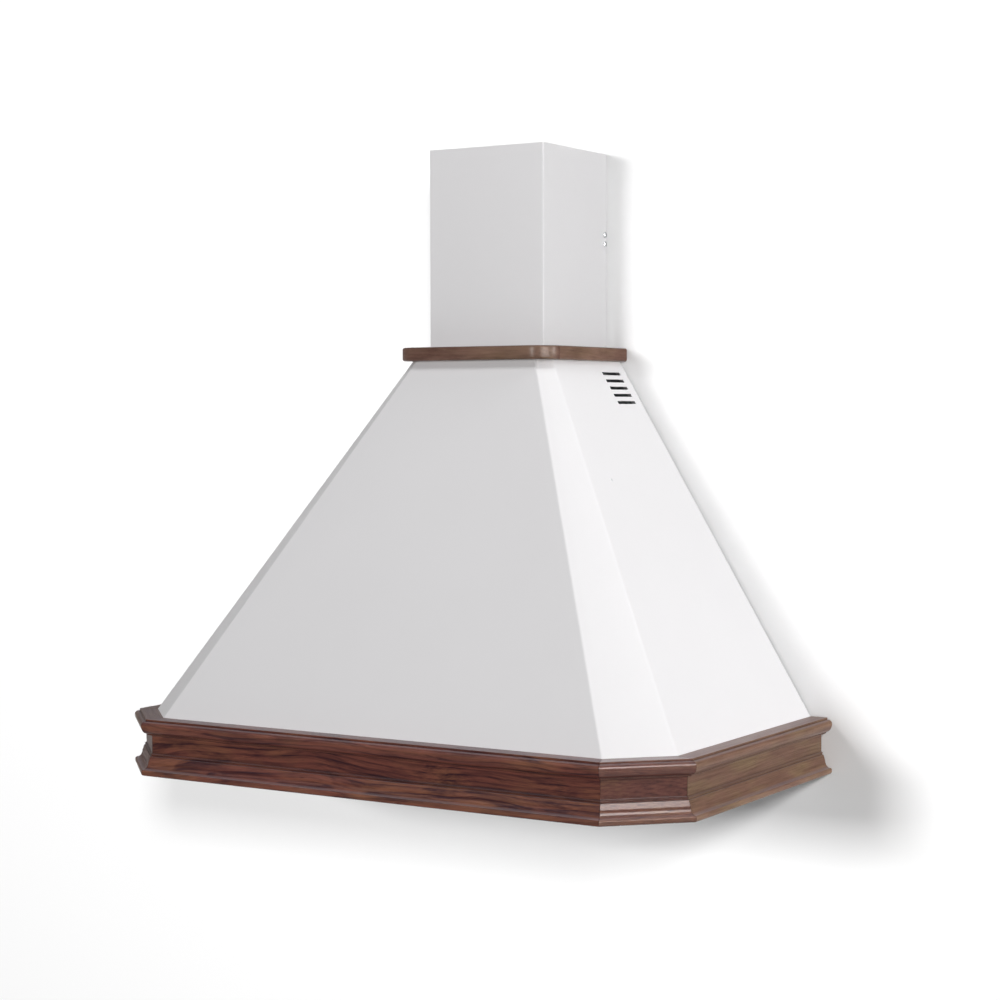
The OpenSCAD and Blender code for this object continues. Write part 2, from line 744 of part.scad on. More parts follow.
// U-shaped outline with rounded front folds
function u_outline(hw, d, r, back) = concat(
    [[-hw, back]],
    arc_pts(-hw + r, -d + r, r, r, 180, 270, 4),
    arc_pts(hw - r, -d + r, r, r, 270, 360, 4),
    [[hw, back]]);

module u_section(hw, d, t, r, back) {
    difference() {
        polygon(u_outline(hw, d, r, back));
        polygon(u_outline(hw - t, d - t, r - t, back + over));
    }
    for (side = [-1, 1]) translate([side > 0 ? hw - chim_flange : -hw, back - t]) square([chim_flange, t]);
}

chim_z = collar_z + collar_h;
tele_hw = chim_hw - sheet - slide_gap;
tele_d = chim_d - sheet - slide_gap;
tele_back = -sheet - slide_gap;
tele_z = chim_z + gap;
ear_x = tele_hw - inner_t - slide_gap;

module at_lock_screws() {
    for (side = [-1, 1], z = [lock_z - lock_pitch, lock_z])
        translate([side * chim_hw, -lock_back, z]) rotate([0, side * 90, 0]) children();
}

module chimney_cover() color(white) difference() {
    translate([0, 0, chim_z]) linear_extrude(top_z - chim_z) u_section(chim_hw, chim_d, sheet, fold_r, 0);
    at_lock_screws() screw_hole(sheet + over);
}

// Telescopic section, slotted along the lock screws
module upper_chimney() color(white) difference() {
    translate([0, 0, tele_z]) linear_extrude(top_z - 2 - tele_z)
        u_section(tele_hw, tele_d, inner_t, fold_r - 0.5, tele_back);
    low = lock_z - lock_pitch - tele_travel - screw_r - over;
    high = lock_z + screw_r + over;
    for (side = [-1, 1]) translate([side * tele_hw, -lock_back, 0])
        box_at([-2, -screw_r - 1, low], [2, screw_r + 1, high]);
}

// Wall bracket: ears along the chimney's sides, stepped back to the wall
ear_t = 1.5;
ear_l = 26;
module chimney_bracket() color(zinc) difference() {
    low = lock_z - lock_pitch - 10;
    high = lock_z + 10;
    step_y = tele_back - inner_t - 1;
    step_x = tele_hw - chim_flange - 3;
    union() {
        both_sides() {
            box_at([ear_x - ear_t, -ear_l, low], [ear_x, step_y, high]);
            box_at([step_x - ear_t, step_y - ear_t, low], [ear_x, step_y, high]);
            box_at([step_x - ear_t, step_y - ear_t, low], [step_x, 0, high]);
        }
        box_at([-step_x, -ear_t, low], [step_x, 0, high]);
    }
    for (side = [-1, 1]) translate([side * bracket_pitch / 2, over, (low + high) / 2]) rotate([90, 0, 0])
        cylinder(r = 3, h = 6);
    at_lock_screws() screw_hole(12);
}
module cover_screws() color(zinc) at_lock_screws() screw(chim_hw - ear_x + 4, head_r + 0.3);

// Blower

duct_y = -chim_d / 2;
neck_a = 70;
neck_p = scroll_r0 * cos(neck_a);
fan_y = duct_y - (neck_p + scroll_r1) / 2;
flange_z = fan_z + neck_h;
neck_flange = 12;
flange_hw = scroll_hw + neck_flange;
plate_h = 2.5;
module at_fan() translate([0, fan_y, fan_z]) children();

// Scroll outline in depth and height about the impeller's axis, grown by t
function scroll_r(a) = scroll_r0 + (scroll_r1 - scroll_r0) * (a - neck_a) / (360 - neck_a);
module scroll_2d(t, top) {
    polygon([for (a = [neck_a:10:360]) (scroll_r(a) + t) * [cos(a), sin(a)]]);
    translate([neck_p - t, 0]) square([scroll_r1 - neck_p + 2 * t, top]);
}

// Side sheet of the scroll with its inlet
module scroll_side(x0, x1) translate([x0, fan_y, fan_z]) rotate([90, 0, 90]) linear_extrude(x1 - x0)
    difference() {
        scroll_2d(scroll_t, neck_h);
        circle(r = fan_in - 2);
    }

module blower_scroll() color(zinc) difference() {
    union() {
        at_fan() along_x(2 * scroll_hw) difference() {
            scroll_2d(scroll_t, neck_h);
            scroll_2d(0, neck_h + over);
        }
        scroll_side(-scroll_hw - scroll_t, -scroll_hw);
        // Outlet flange
        translate([0, 0, flange_z - scroll_t]) linear_extrude(scroll_t) difference() {
            translate([-flange_hw, fan_y + neck_p - neck_flange])
                square([2 * flange_hw, scroll_r1 - neck_p + 2 * neck_flange]);
            translate([-scroll_hw, fan_y + neck_p]) square([2 * scroll_hw + scroll_t, scroll_r1 - neck_p]);
        }
    }
    at_plate_screws() screw_hole(10);
    at_bracket_screws() screw_hole(8);
    at_mount_screws() screw_hole(12);
}

module blower_side_plate() color(zinc) difference() {
    scroll_side(scroll_hw, scroll_hw + scroll_t);
    // Clears the outlet flange
    box_at([0, fan_y, flange_z - scroll_t - screw_gap], [scroll_hw + 20, 0, flange_z + over]);
    at_bracket_screws() screw_hole(8);
}

// One edge of a curved blade, from its root to its tip
blade_steps = 5;
blade_sweep = 14;
function blade_edge(sign) = [for (i = [0:blade_steps]) let (
        s = i / blade_steps,
        r = fan_in + 0.5 + (fan_r - fan_in - 1) * s,
        a = blade_sweep * s * s + sign * blade_t / 2 / r * 180 / PI)
    [r * cos(a), r * sin(a)]];
hub_r = 11;
module impeller() color(zinc) at_fan() rotate([90, 0, 90]) difference() {
    union() {
        linear_extrude(2 * fan_hl, center = true)
            for (i = [0:blade_count - 1]) rotate(i * 360 / blade_count)
                polygon(concat(blade_edge(-1), [for (k = [blade_steps:-1:0]) blade_edge(1)[k]]));
        for (z = [-fan_hl, fan_hl - 1.5]) translate([0, 0, z]) linear_extrude(1.5) difference() {
            circle(r = fan_r + 1);
            circle(r = fan_in);
        }
        cylinder(r = fan_r - 0.2, h = 1.6, center = true);
        translate([0, 0, -7]) cylinder(r = hub_r, h = 20);
    }
    cylinder(r = shaft_r + run_gap, h = 60, center = true);
    for (a = [0:60:300]) rotate(a) translate([fan_in * 0.62, 0, 0]) cylinder(r = 8, h = 6, center = true);
}

motor_x = -12;
shaft_x0 = motor_x - 40;
module motor_shaft() color(alu) at_fan() rotate([0, 90, 0]) {
    translate([0, 0, shaft_x0]) cylinder(r = shaft_r, h = 16 - shaft_x0);
    // Retaining cap on the hub
    translate([0, 0, 13 + screw_gap]) cylinder(r = shaft_r + 3, h = 4);
}

module motor() color(grey) at_fan() rotate([0, 90, 0]) difference() {
    union() {
        translate([0, 0, motor_x - motor_l]) cylinder(r = motor_r, h = motor_l - 4);
        translate([0, 0, motor_x - 4]) cylinder(r1 = motor_r, r2 = motor_r - 4, h = 4);
        translate([0, 0, motor_x - motor_l - 6]) cylinder(r = 12, h = 7);
    }
    translate([0, 0, shaft_x0 - 0.5]) cylinder(r = shaft_r + run_gap, h = 60);
    // Cooling slots in the end bell
    for (a = [0:45:315])
        rotate(a) translate([motor_r * 0.6, 0, motor_x - motor_l - over]) cylinder(r = 5, h = 10);
}

// Three-armed mount on rubber bushes, outside the left side sheet
mount_arm_r = 68;
bush_h = 3.5;
mount_x = -scroll_hw - scroll_t - bush_h;
mount_t = 2.5;
mount_face = mount_x - mount_t;
module at_mount_screws() at_fan() for (a = [30, 150, 270]) rotate([a, 0, 0])
    translate([mount_face, mount_arm_r, 0]) rotate([0, -90, 0]) children();
module motor_mount() color(zinc) difference() {
    at_fan() {
        translate([mount_face - 3, 0, 0]) rotate([0, 90, 0]) cylinder(r = motor_r + 4, h = mount_t + 3);
        for (a = [30, 150, 270]) rotate([a, 0, 0])
            box_at([mount_face, motor_r, -7], [mount_x, mount_arm_r + 6, 7]);
    }
    at_fan() translate([mount_x - 20, 0, 0]) rotate([0, 90, 0]) cylinder(r = motor_r, h = 30);
    at_mount_screws() screw_hole(8);
}
module motor_bushes() color(black) difference() {
    at_mount_screws() translate([0, 0, -mount_t - bush_h]) cylinder(r = 6, h = bush_h);
    at_mount_screws() screw_hole(12);
}

// Duct collar with its two non-return flaps
flap_z = flange_z + 20;
flap_off = 5;
flap_t = 1.4;
pin_r = 1.2;
barrel_r = 2;
duct_in = duct_r - duct_t;
// Width of the ledge that the closed flaps rest on
ledge_w = 4;
module at_duct(z) translate([0, duct_y, z]) children();
module at_plate_screws() {
    for (sx = [-1, 1], p = [neck_p - neck_flange / 2, scroll_r1 + neck_flange / 2])
        translate([sx * (scroll_hw - 8), fan_y + p, flange_z + plate_h]) children();
}

// Plate on the scroll's flange, which the collar stands on
module outlet_plate() color(zinc) difference() {
    translate([-flange_hw, fan_y + neck_p - neck_flange, flange_z])
        cube([2 * flange_hw, scroll_r1 - neck_p + 2 * neck_flange, plate_h]);
    at_duct(flange_z - over) cylinder(r = duct_in - ledge_w, h = plate_h + 2 * over, $fn = 96);
    at_plate_screws() screw_hole(10);
}
module outlet_collar() color(black) {
    difference() {
        at_duct(flange_z + plate_h) cylinder(r = duct_r, h = duct_h - plate_h, $fn = 96);
        at_duct(flange_z) cylinder(r = duct_in - ledge_w, h = duct_h, $fn = 96);
        at_duct(flap_z - 3) cylinder(r = duct_in, h = duct_h, $fn = 96);
        at_duct(flap_z + barrel_r) for (s = [-1, 1]) translate([0, s * flap_off, 0]) rotate([0, 90, 0])
            cylinder(r = pin_r + run_gap, h = 3 * duct_r, center = true);
    }
    // Bar across the duct, under the flaps' inner edges
    at_duct(flap_z - 6) intersection() {
        translate([-duct_r, -flap_off - 2, 0]) cube([2 * duct_r, 2 * (flap_off + 2), 3]);
        cylinder(r = duct_in - ledge_w + 0.5, h = 3);
    }
}
module flap(side) color(grey) at_duct(flap_z) {
    difference() {
        translate([0, 0, gap - 3]) cylinder(r = duct_in - 1.5, h = flap_t, $fn = 96);
        box_at([-duct_r, side > 0 ? -duct_r : -flap_off, -4], [duct_r, side > 0 ? flap_off : duct_r, 4]);
    }
    translate([0, side * flap_off, barrel_r]) rotate([0, 90, 0]) {
        cylinder(r = barrel_r, h = 2 * (duct_in - 6), center = true);
        cylinder(r = pin_r, h = 2 * (duct_r - 0.8), center = true);
    }
    // Web from the barrel down to the disc
    translate([0, side * (flap_off + 1), 0])
        box_at([-duct_in + 6, -1, gap - 3], [duct_in - 6, 1, barrel_r]);
}

// Straps from the back panel to the scroll's sides
strap_hole_y = fan_y + (neck_p + scroll_r1) / 2 - 3.6;
strap_z0 = fan_z + 40;
strap_w = 60;
strap_z1 = strap_z0 + strap_w;
strap_x = scroll_hw + scroll_t;
strap_t = 2;
module blower_bracket(side) color(zinc) difference() {
    mirror([side < 0 ? 1 : 0, 0, 0]) {
        box_at([strap_x, strap_hole_y - 12, strap_z0], [strap_x + strap_t, -back_t, strap_z1]);
        box_at([strap_x, -back_t - strap_t, strap_z0], [strap_x + 24, -back_t, strap_z1]);
    }
    at_bracket_screws() screw_hole(8);
}
module at_bracket_screws() {
    for (side = [-1, 1], z = [strap_z0 + 12, strap_z1 - 12]) {
        translate([side * (strap_x + strap_t), strap_hole_y, z]) rotate([0, side * 90, 0]) children();
        translate([side * (strap_x + 17), -back_t - strap_t, z]) rotate([90, 0, 0]) children();
    }
}
module blower_screws() color(zinc) {
    at_plate_screws() screw(7);
    at_bracket_screws() screw(strap_t + min(scroll_t, back_t) - 0.2);
    at_mount_screws() screw(mount_t + bush_h + 3);
}

// Electrical parts

jb_x0 = strap_x + strap_t + 1;
jb_w = 78;
jb_z0 = fan_z - 90;
jb_h = 78;
jb_d = 34;
gland_x = (port_hw + flange_hw) / 2;
gland_y = -16;
gland_z = jb_z0 + jb_h;
module junction_box() color(grey) difference() {
    box_at([jb_x0, -back_t - jb_d, jb_z0], [jb_x0 + jb_w, -back_t, gland_z]);
    box_at([jb_x0 + 2, -back_t - jb_d - over, jb_z0 + 2], [jb_x0 + jb_w - 2, -back_t - 2, gland_z - 2]);
    translate([gland_x, gland_y, gland_z - 4]) cylinder(r = 7 + screw_gap, h = 6);
}
module junction_lid() color(grey) {
    rim = 2 + gap;
    lid_y = -back_t - jb_d;
    box_at([jb_x0, lid_y - 2, jb_z0], [jb_x0 + jb_w, lid_y, gland_z]);
    // Rim that plugs into the box
    box_at([jb_x0 + rim, lid_y, jb_z0 + rim], [jb_x0 + jb_w - rim, lid_y + 1.5, gland_z - rim]);
}
module cable_gland() color(black) translate([gland_x, gland_y, gland_z]) difference() {
    union() {
        cylinder(r = 10, h = 4, $fn = 6);
        translate([0, 0, 4]) cylinder(r = 8, h = 6);
        translate([0, 0, 10]) cylinder(r1 = 8, r2 = cable_r + 1.5, h = 5);
        translate([0, 0, -2 - 4]) cylinder(r = 7, h = 7);
        translate([0, 0, -2 - 4]) cylinder(r = 9, h = 4, $fn = 6);
    }
    translate([0, 0, -7]) cylinder(r = cable_r, h = 24);
}

cap_r = 15;
cap_x = -strap_x - 50;
cap_z = fan_z - 70;
clip_t = 1.2;
cap_y = -back_t - clip_t - cap_r;
module capacitor() color(white) translate([cap_x, cap_y, cap_z]) {
    cylinder(r = cap_r, h = 48);
    translate([0, 0, 48]) cylinder(r = cap_r - 2, h = 2);
    for (s = [-1, 1]) translate([s * 5 - 1.5, -0.4, 49]) cube([3, 0.8, 9]);
}
module capacitor_clip() color(zinc) translate([cap_x, cap_y, cap_z + 14]) difference() {
    union() {
        cylinder(r = cap_r + clip_t, h = 18);
        box_at([-cap_r - 14, cap_r, 0], [cap_r + 14, cap_r + clip_t, 18]);
    }
    translate([0, 0, -over]) cylinder(r = cap_r, h = 20);
}

front_rail();
corner_rail(-1);  // left_corner_rail
corner_rail(1);  // right_corner_rail
side_rail(-1);  // left_side_rail
side_rail(1);  // right_side_rail
mitre_plates();
cornice_screws();
canopy_shell();
panel_rivets();
back_panel();
base_pan();
pan_screws();
filter_frame(-1);  // left_filter_frame
filter_mesh(-1);  // left_filter_mesh
filter_latch(-1);  // left_filter_latch
filter_frame(1);  // right_filter_frame
filter_mesh(1);  // right_filter_mesh
filter_latch(1);  // right_filter_latch
lamp_housing(-1);  // left_lamp_housing
lamp_bezel(-1);  // left_lamp_bezel
lamp_lens(-1);  // left_lamp_lens
lamp_housing(1);  // right_lamp_housing
lamp_bezel(1);  // right_lamp_bezel
lamp_lens(1);  // right_lamp_lens
lamp_bulbs();
control_bezel();
control_box();
button(0);  // light_button
button(1);  // fan_off_button
button(2);  // speed_1_button
button(3);  // speed_2_button
button(4);  // speed_3_button
collar_front_board();
collar_board(-1);  // collar_left_board
collar_board(1);  // collar_right_board
collar_screws();
chimney_cover();
upper_chimney();
chimney_bracket();
cover_screws();
blower_scroll();
blower_side_plate();
impeller();
motor_shaft();
motor();
motor_mount();
motor_bushes();
outlet_plate();
outlet_collar();
flap(-1);  // front_flap
flap(1);  // rear_flap
blower_bracket(-1);  // left_blower_bracket
blower_bracket(1);  // right_blower_bracket
blower_screws();
junction_box();
junction_lid();
cable_gland();
capacitor();
capacitor_clip();
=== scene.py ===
# Frame and camera
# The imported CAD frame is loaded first. The camera stands to the right of the hood and a little above the
# cornice, as the photograph's did; its place was solved from the straight edges in the photograph.
import math

import bmesh
import bpy
import numpy as np
from mathutils import Matrix, Vector


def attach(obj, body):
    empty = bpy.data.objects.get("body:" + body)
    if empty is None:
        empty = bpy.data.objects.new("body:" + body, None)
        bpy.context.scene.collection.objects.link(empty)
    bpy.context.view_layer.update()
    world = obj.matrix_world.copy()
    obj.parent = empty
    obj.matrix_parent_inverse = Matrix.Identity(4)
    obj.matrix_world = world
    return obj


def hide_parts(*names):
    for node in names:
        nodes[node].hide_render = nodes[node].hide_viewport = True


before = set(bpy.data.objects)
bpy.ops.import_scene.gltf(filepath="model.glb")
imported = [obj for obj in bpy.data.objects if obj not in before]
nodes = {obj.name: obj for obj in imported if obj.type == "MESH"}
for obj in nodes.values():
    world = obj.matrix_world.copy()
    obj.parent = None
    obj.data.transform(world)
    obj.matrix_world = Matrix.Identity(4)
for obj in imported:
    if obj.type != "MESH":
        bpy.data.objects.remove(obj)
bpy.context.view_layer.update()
scene = bpy.context.scene
scene.view_settings.view_transform = "Standard"

camera = bpy.data.objects.new("camera", bpy.data.cameras.new("camera"))
scene.collection.objects.link(camera)
scene.camera = camera
camera.data.lens = 78.527
camera.data.clip_end = 30
yaw, pitch, roll = math.radians(31.70), math.radians(2.38), math.radians(-0.14)
cam_back = Vector((math.sin(yaw) * math.cos(pitch), -math.cos(yaw) * math.cos(pitch), math.sin(pitch)))
level_right = Vector((math.cos(yaw), math.sin(yaw), 0))
level_up = cam_back.cross(level_right)
cam_right = level_right * math.cos(roll) + level_up * math.sin(roll)
cam_up = level_up * math.cos(roll) - level_right * math.sin(roll)
camera.matrix_world = Matrix.Translation((1.639, -2.799, 0.506)) @ Matrix(
    (cam_right, cam_up, cam_back)).transposed().to_4x4()


# Wall, floor and studio light
# A pale wall and a floor well below take the soft shadow of two lamps that light nothing else. The hood has its
# key in front and softboxes at its sides, behind and above, and three lamps give glints to single pieces.
def node(tree, kind, inputs=None, **settings):
    """A shader or geometry node; each input is a value, or a socket to link from."""
    made = tree.nodes.new(kind)
    for key, value in settings.items():
        setattr(made, key, value)
    for key, value in (inputs or {}).items():
        if isinstance(value, bpy.types.NodeSocket):
            tree.links.new(value, made.inputs[key])
        else:
            made.inputs[key].default_value = value
    return made


def maths(tree, operation, a, b=0.0, clamp=False):
    return node(tree, "ShaderNodeMath", {0: a, 1: b}, operation=operation, use_clamp=clamp).outputs[0]


def times(tree, a, b, clamp=False):
    return maths(tree, "MULTIPLY", a, b, clamp)


def plus(tree, a, b, clamp=False):
    return maths(tree, "ADD", a, b, clamp)


def axes(tree, vector):
    return node(tree, "ShaderNodeSeparateXYZ", {0: vector}).outputs


def span(tree, value, low, high, to_low, to_high, kind="LINEAR"):
    """Carries a value from one range to another, and holds it at the ends."""
    return node(tree, "ShaderNodeMapRange", {0: value, 1: low, 2: high, 3: to_low, 4: to_high},
                interpolation_type=kind).outputs[0]


def new_material(name):
    made = bpy.data.materials.new(name)
    made.use_nodes = True
    made.node_tree.nodes.clear()
    return made, made.node_tree


def backdrop(name, verts, albedo, glow):
    made, tree = new_material(name)
    path = node(tree, "ShaderNodeLightPath")
    matt = node(tree, "ShaderNodeBsdfDiffuse", {"Color": (albedo, albedo, albedo, 1)})
    seen_glow = times(tree, path.outputs["Is Camera Ray"], glow)
    lit = node(tree, "ShaderNodeEmission", {"Strength": seen_glow})
    both = node(tree, "ShaderNodeAddShader", {0: matt.outputs[0], 1: lit.outputs[0]})
    # Seen from behind it is clear, so the hood's back can be looked at through the wall
    side = node(tree, "ShaderNodeNewGeometry")
    clear = node(tree, "ShaderNodeBsdfTransparent")
    mix = node(tree, "ShaderNodeMixShader", {0: side.outputs["Backfacing"], 1: both.outputs[0], 2: clear.outputs[0]})
    node(tree, "ShaderNodeOutputMaterial", {0: mix.outputs[0]})
    mesh = bpy.data.meshes.new(name)
    mesh.from_pydata(verts, [], [(0, 1, 2, 3)])
    mesh.materials.append(made)
    obj = bpy.data.objects.new(name, mesh)
    scene.collection.objects.link(obj)
    obj.visible_diffuse = obj.visible_glossy = obj.visible_transmission = obj.visible_shadow = False
    return obj


reach, wall_y, wall_top, floor_z = 6, 0.002, 5, -1.2
wall = backdrop("wall", [(-reach, wall_y, floor_z), (reach, wall_y, floor_z), (reach, wall_y, wall_top),
                         (-reach, wall_y, wall_top)], 0.85, 0.0)
floor = backdrop("floor", [(-reach, -reach, floor_z), (reach, -reach, floor_z), (reach, wall_y, floor_z),
                           (-reach, wall_y, floor_z)], 0.80, 0.82)

# What each lamp lights, or leaves out
wall_only, all_but_wall, all_but_chimney, chimney_only, corner_only, front_only, fold_only = (
    bpy.data.collections.new(name) for name in (
        "wall_and_floor", "all_but_the_wall", "all_but_wall_and_chimney", "chimney_pieces", "right_corner_piece",
        "front_piece", "chimney_and_collar"))
wall_only.objects.link(wall)
wall_only.objects.link(floor)
all_but_wall.objects.link(wall)
all_but_wall.collection_objects[0].light_linking.link_state = "EXCLUDE"
all_but_chimney.objects.link(wall)

world = bpy.data.worlds.new("studio")
scene.world = world
world.use_nodes = True
sky = world.node_tree
sky.nodes.clear()
sky_path = node(sky, "ShaderNodeLightPath")
seen = maths(sky, "MAXIMUM", sky_path.outputs["Is Camera Ray"], maths(
    sky, "MAXIMUM", sky_path.outputs["Is Glossy Ray"], sky_path.outputs["Is Transmission Ray"]))
up = axes(sky, node(sky, "ShaderNodeTexCoord").outputs["Generated"])["Z"]
ambient = span(sky, up, -0.9, -0.1, 0.55, 0.06)
mirrored = span(sky, up, -0.4, 0.0, 1.0, 0.35)
white = maths(sky, "MAXIMUM", sky_path.outputs["Is Camera Ray"], mirrored)
strength = node(sky, "ShaderNodeMix", {0: seen, 2: ambient, 3: white}).outputs[0]
node(sky, "ShaderNodeOutputWorld", {0: node(sky, "ShaderNodeBackground", {
    "Color": (1, 1, 1, 1), "Strength": strength}).outputs[0]})


def softbox(name, place, target, width, height, power, lit=all_but_wall):
    light = bpy.data.lights.new(name, "AREA")
    light.shape, light.size, light.size_y, light.energy = "RECTANGLE", width, height, power
    obj = bpy.data.objects.new(name, light)
    scene.collection.objects.link(obj)
    obj.location = place
    obj.rotation_euler = (Vector(target) - Vector(place)).to_track_quat("-Z", "Y").to_euler()
    obj.visible_camera = False
    obj.light_linking.receiver_collection = lit
    return obj


wall_middle, hood_middle = (0, 0, 0.35), (0, -0.25, 0.35)
softbox("wall_key", (-1.25, -6.3, 1.15), wall_middle, 1.5, 1.0, 310, wall_only)
softbox("wall_front", (3.40, -5.3, 1.75), wall_middle, 0.7, 0.7, 200, wall_only)
softbox("key", (0, -4.6, 0.96), hood_middle, 1.0, 1.0, 84)
softbox("top_fill", (0, -2.05, 3.47), hood_middle, 1.2, 1.2, 40)
softbox("right_box", (3.15, -0.81, 0.35), hood_middle, 1.0, 1.0, 18)
softbox("rear_box", (3.0, 0.61, 1.0), hood_middle, 1.0, 1.0, 58, all_but_chimney)
softbox("rear_chimney", (3.0, 0.61, 1.0), hood_middle, 1.0, 1.0, 40, chimney_only)
softbox("rear_top", (1.98, 0.32, 2.80), hood_middle, 1.0, 1.0, 18)
softbox("left_rear_box", (-2.6, 1.8, 0.6), hood_middle, 1.0, 1.0, 45).visible_glossy = False
for name, place, target, width, height, power, lit in (
        ("corner_glint", (2.47, -1.56, 1.73), (0.4, -0.46, 0.03), 0.7, 1.5, 60, corner_only),
        ("front_glint", (-1.45, -2.55, 1.85), (0, -0.5, 0.03), 1.6, 1.6, 38, front_only),
        ("fold_glint", (2.60, -1.75, 1.00), (0.1, -0.2, 0.7), 1.6, 1.6, 150, fold_only)):
    softbox(name, place, target, width, height, power, lit).visible_diffuse = False


# Wooden cornice
# Five lengths of one stained walnut moulding, cut to mitres at the hood's two cut corners and glued, with a
# steel plate let in under each mitre. The quirks are darkened as glaze and painted shade, and the arrises are
# lightened as wear and painted highlight.
def arc(cx, cy, rx, ry, a0, a1, steps):
    angles = [math.radians(a0 + (a1 - a0) * i / steps) for i in range(steps + 1)]
    return [(cx + rx * math.cos(a), cy + ry * math.sin(a)) for a in angles]


def soften(points, radius, closed=True, least=20):
    """The same outline with its sharp corners cut round."""
    out, n = [], len(points)
    for i, p in enumerate(points):
        if not closed and i in (0, n - 1):
            out.append(p)
            continue
        a, b, c = Vector(points[i - 1]), Vector(p), Vector(points[(i + 1) % n])
        if (b - a).angle(c - b, 0) < math.radians(least):
            out.append(p)
            continue
        cut = min(radius, 0.42 * (b - a).length, 0.42 * (c - b).length)
        start, end = b + (a - b).normalized() * cut, b + (c - b).normalized() * cut
        for k in range(5):
            t = k / 4
            out.append(tuple(start * (1 - t) ** 2 + b * 2 * t * (1 - t) + end * t * t))
    return out


def resample(points, step):
    out = []
    for i, p in enumerate(points):
        a, b = Vector(p), Vector(points[(i + 1) % len(points)])
        count = max(1, math.ceil((b - a).length / step))
        out += [tuple(a.lerp(b, k / count)) for k in range(count)]
    return out


def offset_loop(points, distances):
    """Moves each edge of a plan outline to its left by its distance, and meets neighbours again."""
    n = len(points)
    lines = []
    for i in range(n):
        a, b = Vector(points[i]), Vector(points[(i + 1) % n])
        side = (b - a).normalized()
        lines.append((a + Vector((-side.y, side.x)) * distances[i], side))
    out = []
    for i in range(n):
        (a, u), (b, v) = lines[i - 1], lines[i]
        cross = u.x * v.y - u.y * v.x
        if abs(cross) < 1e-4:
            out.append(tuple(b + v * (Vector(points[i]) - b).dot(v)))
        else:
            t = ((b - a).x * v.y - (b - a).y * v.x) / cross
            out.append(tuple(a + u * t))
    return out


def loft(rings, closed=True, caps=True, around=False):
    """Points and faces of a skin through rings of as many points; around joins the last ring to the first."""
    count = len(rings[0])
    verts = [tuple(p) for ring in rings for p in ring]
    faces = []
    for r in range(len(rings) if around else len(rings) - 1):
        lower, upper = r * count, ((r + 1) % len(rings)) * count
        for i in range(count if closed else count - 1):
            j = (i + 1) % count
            faces.append((lower + i, lower + j, upper + j, upper + i))
    if caps and not around:
        faces.append(tuple(reversed(range(count))))
        faces.append(tuple(range(len(verts) - count, len(verts))))
    return verts, faces


def drawn_in(plan, steps):
    """Rings of the plan outline, each drawn in by its inset and at its height."""
    return [[(*p, z) for p in offset_loop(plan, [inset] * len(plan))] for inset, z in steps]


def mesh_object(name, verts, faces):
    """A mesh object from points in millimetres."""
    mesh = bpy.data.meshes.new(name)
    mesh.from_pydata([Vector(v) * 0.001 for v in verts], [], faces)
    obj = bpy.data.objects.new(name, mesh)
    scene.collection.objects.link(obj)
    return obj


def apply_modifiers(obj):
    bpy.context.view_layer.update()
    made = bpy.data.meshes.new_from_object(obj.evaluated_get(bpy.context.evaluated_depsgraph_get()))
    obj.modifiers.clear()
    obj.data = made


def shade(obj, angle=35):
    """Outward normals, and smooth shading that breaks at edges sharper than the angle."""
    mesh = bmesh.new()
    mesh.from_mesh(obj.data)
    bmesh.ops.recalc_face_normals(mesh, faces=mesh.faces)
    limit = math.radians(angle)
    for face in mesh.faces:
        face.smooth = True
    for edge in mesh.edges:
        edge.smooth = len(edge.link_faces) == 2 and edge.calc_face_angle(0) < limit
    mesh.to_mesh(obj.data)
    mesh.free()


def cut_away(obj, verts, faces):
    """Takes the closed mesh of the given points out of the object."""
    cutter = mesh_object("cutter", verts, faces)
    shade(cutter)
    tool = obj.modifiers.new("cut", "BOOLEAN")
    tool.operation, tool.solver, tool.object = "DIFFERENCE", "EXACT", cutter
    apply_modifiers(obj)
    bpy.data.objects.remove(cutter)


def settle(obj, body, material, hides=(), angle=35):
    """Finishes a piece: shading, material, the body it rides on, and the CAD nodes it stands for."""
    shade(obj, angle)
    obj.data.materials.clear()
    obj.data.materials.append(material)
    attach(obj, body)
    if hides:
        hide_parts(*hides)
    return obj


def noise(tree, vector, scale, detail=2.0, roughness=0.5, distortion=0.0):
    return node(tree, "ShaderNodeTexNoise", {"Vector": vector, "Scale": scale, "Detail": detail,
                                             "Roughness": roughness, "Distortion": distortion}).outputs["Fac"]


def mix_colour(tree, factor, a, b):
    made = node(tree, "ShaderNodeMix", {0: factor}, data_type="RGBA")
    for socket, value in ((made.inputs[6], a), (made.inputs[7], b)):
        if isinstance(value, bpy.types.NodeSocket):
            tree.links.new(value, socket)
        else:
            socket.default_value = (*value, 1)
    return made.outputs[2]


def darker(colour, share):
    return tuple(share * c for c in colour)


def stretched(tree, vector, scale):
    return node(tree, "ShaderNodeMapping", {0: vector, 3: scale}).outputs[0]


def surface(name):
    """A new material, its tree, and the object coordinates that its figure is laid on."""
    made, tree = new_material(name)
    return made, tree, node(tree, "ShaderNodeTexCoord").outputs["Object"]


def finished(made, tree, relief, strength, distance, inputs):
    """Ends a material: one shader with the given inputs, over the relief."""
    bump = node(tree, "ShaderNodeBump", {"Strength": strength, "Distance": distance, "Height": relief}).outputs[0]
    shader = node(tree, "ShaderNodeBsdfPrincipled", {"Normal": bump, **inputs})
    node(tree, "ShaderNodeOutputMaterial", {0: shader.outputs[0]})
    return made


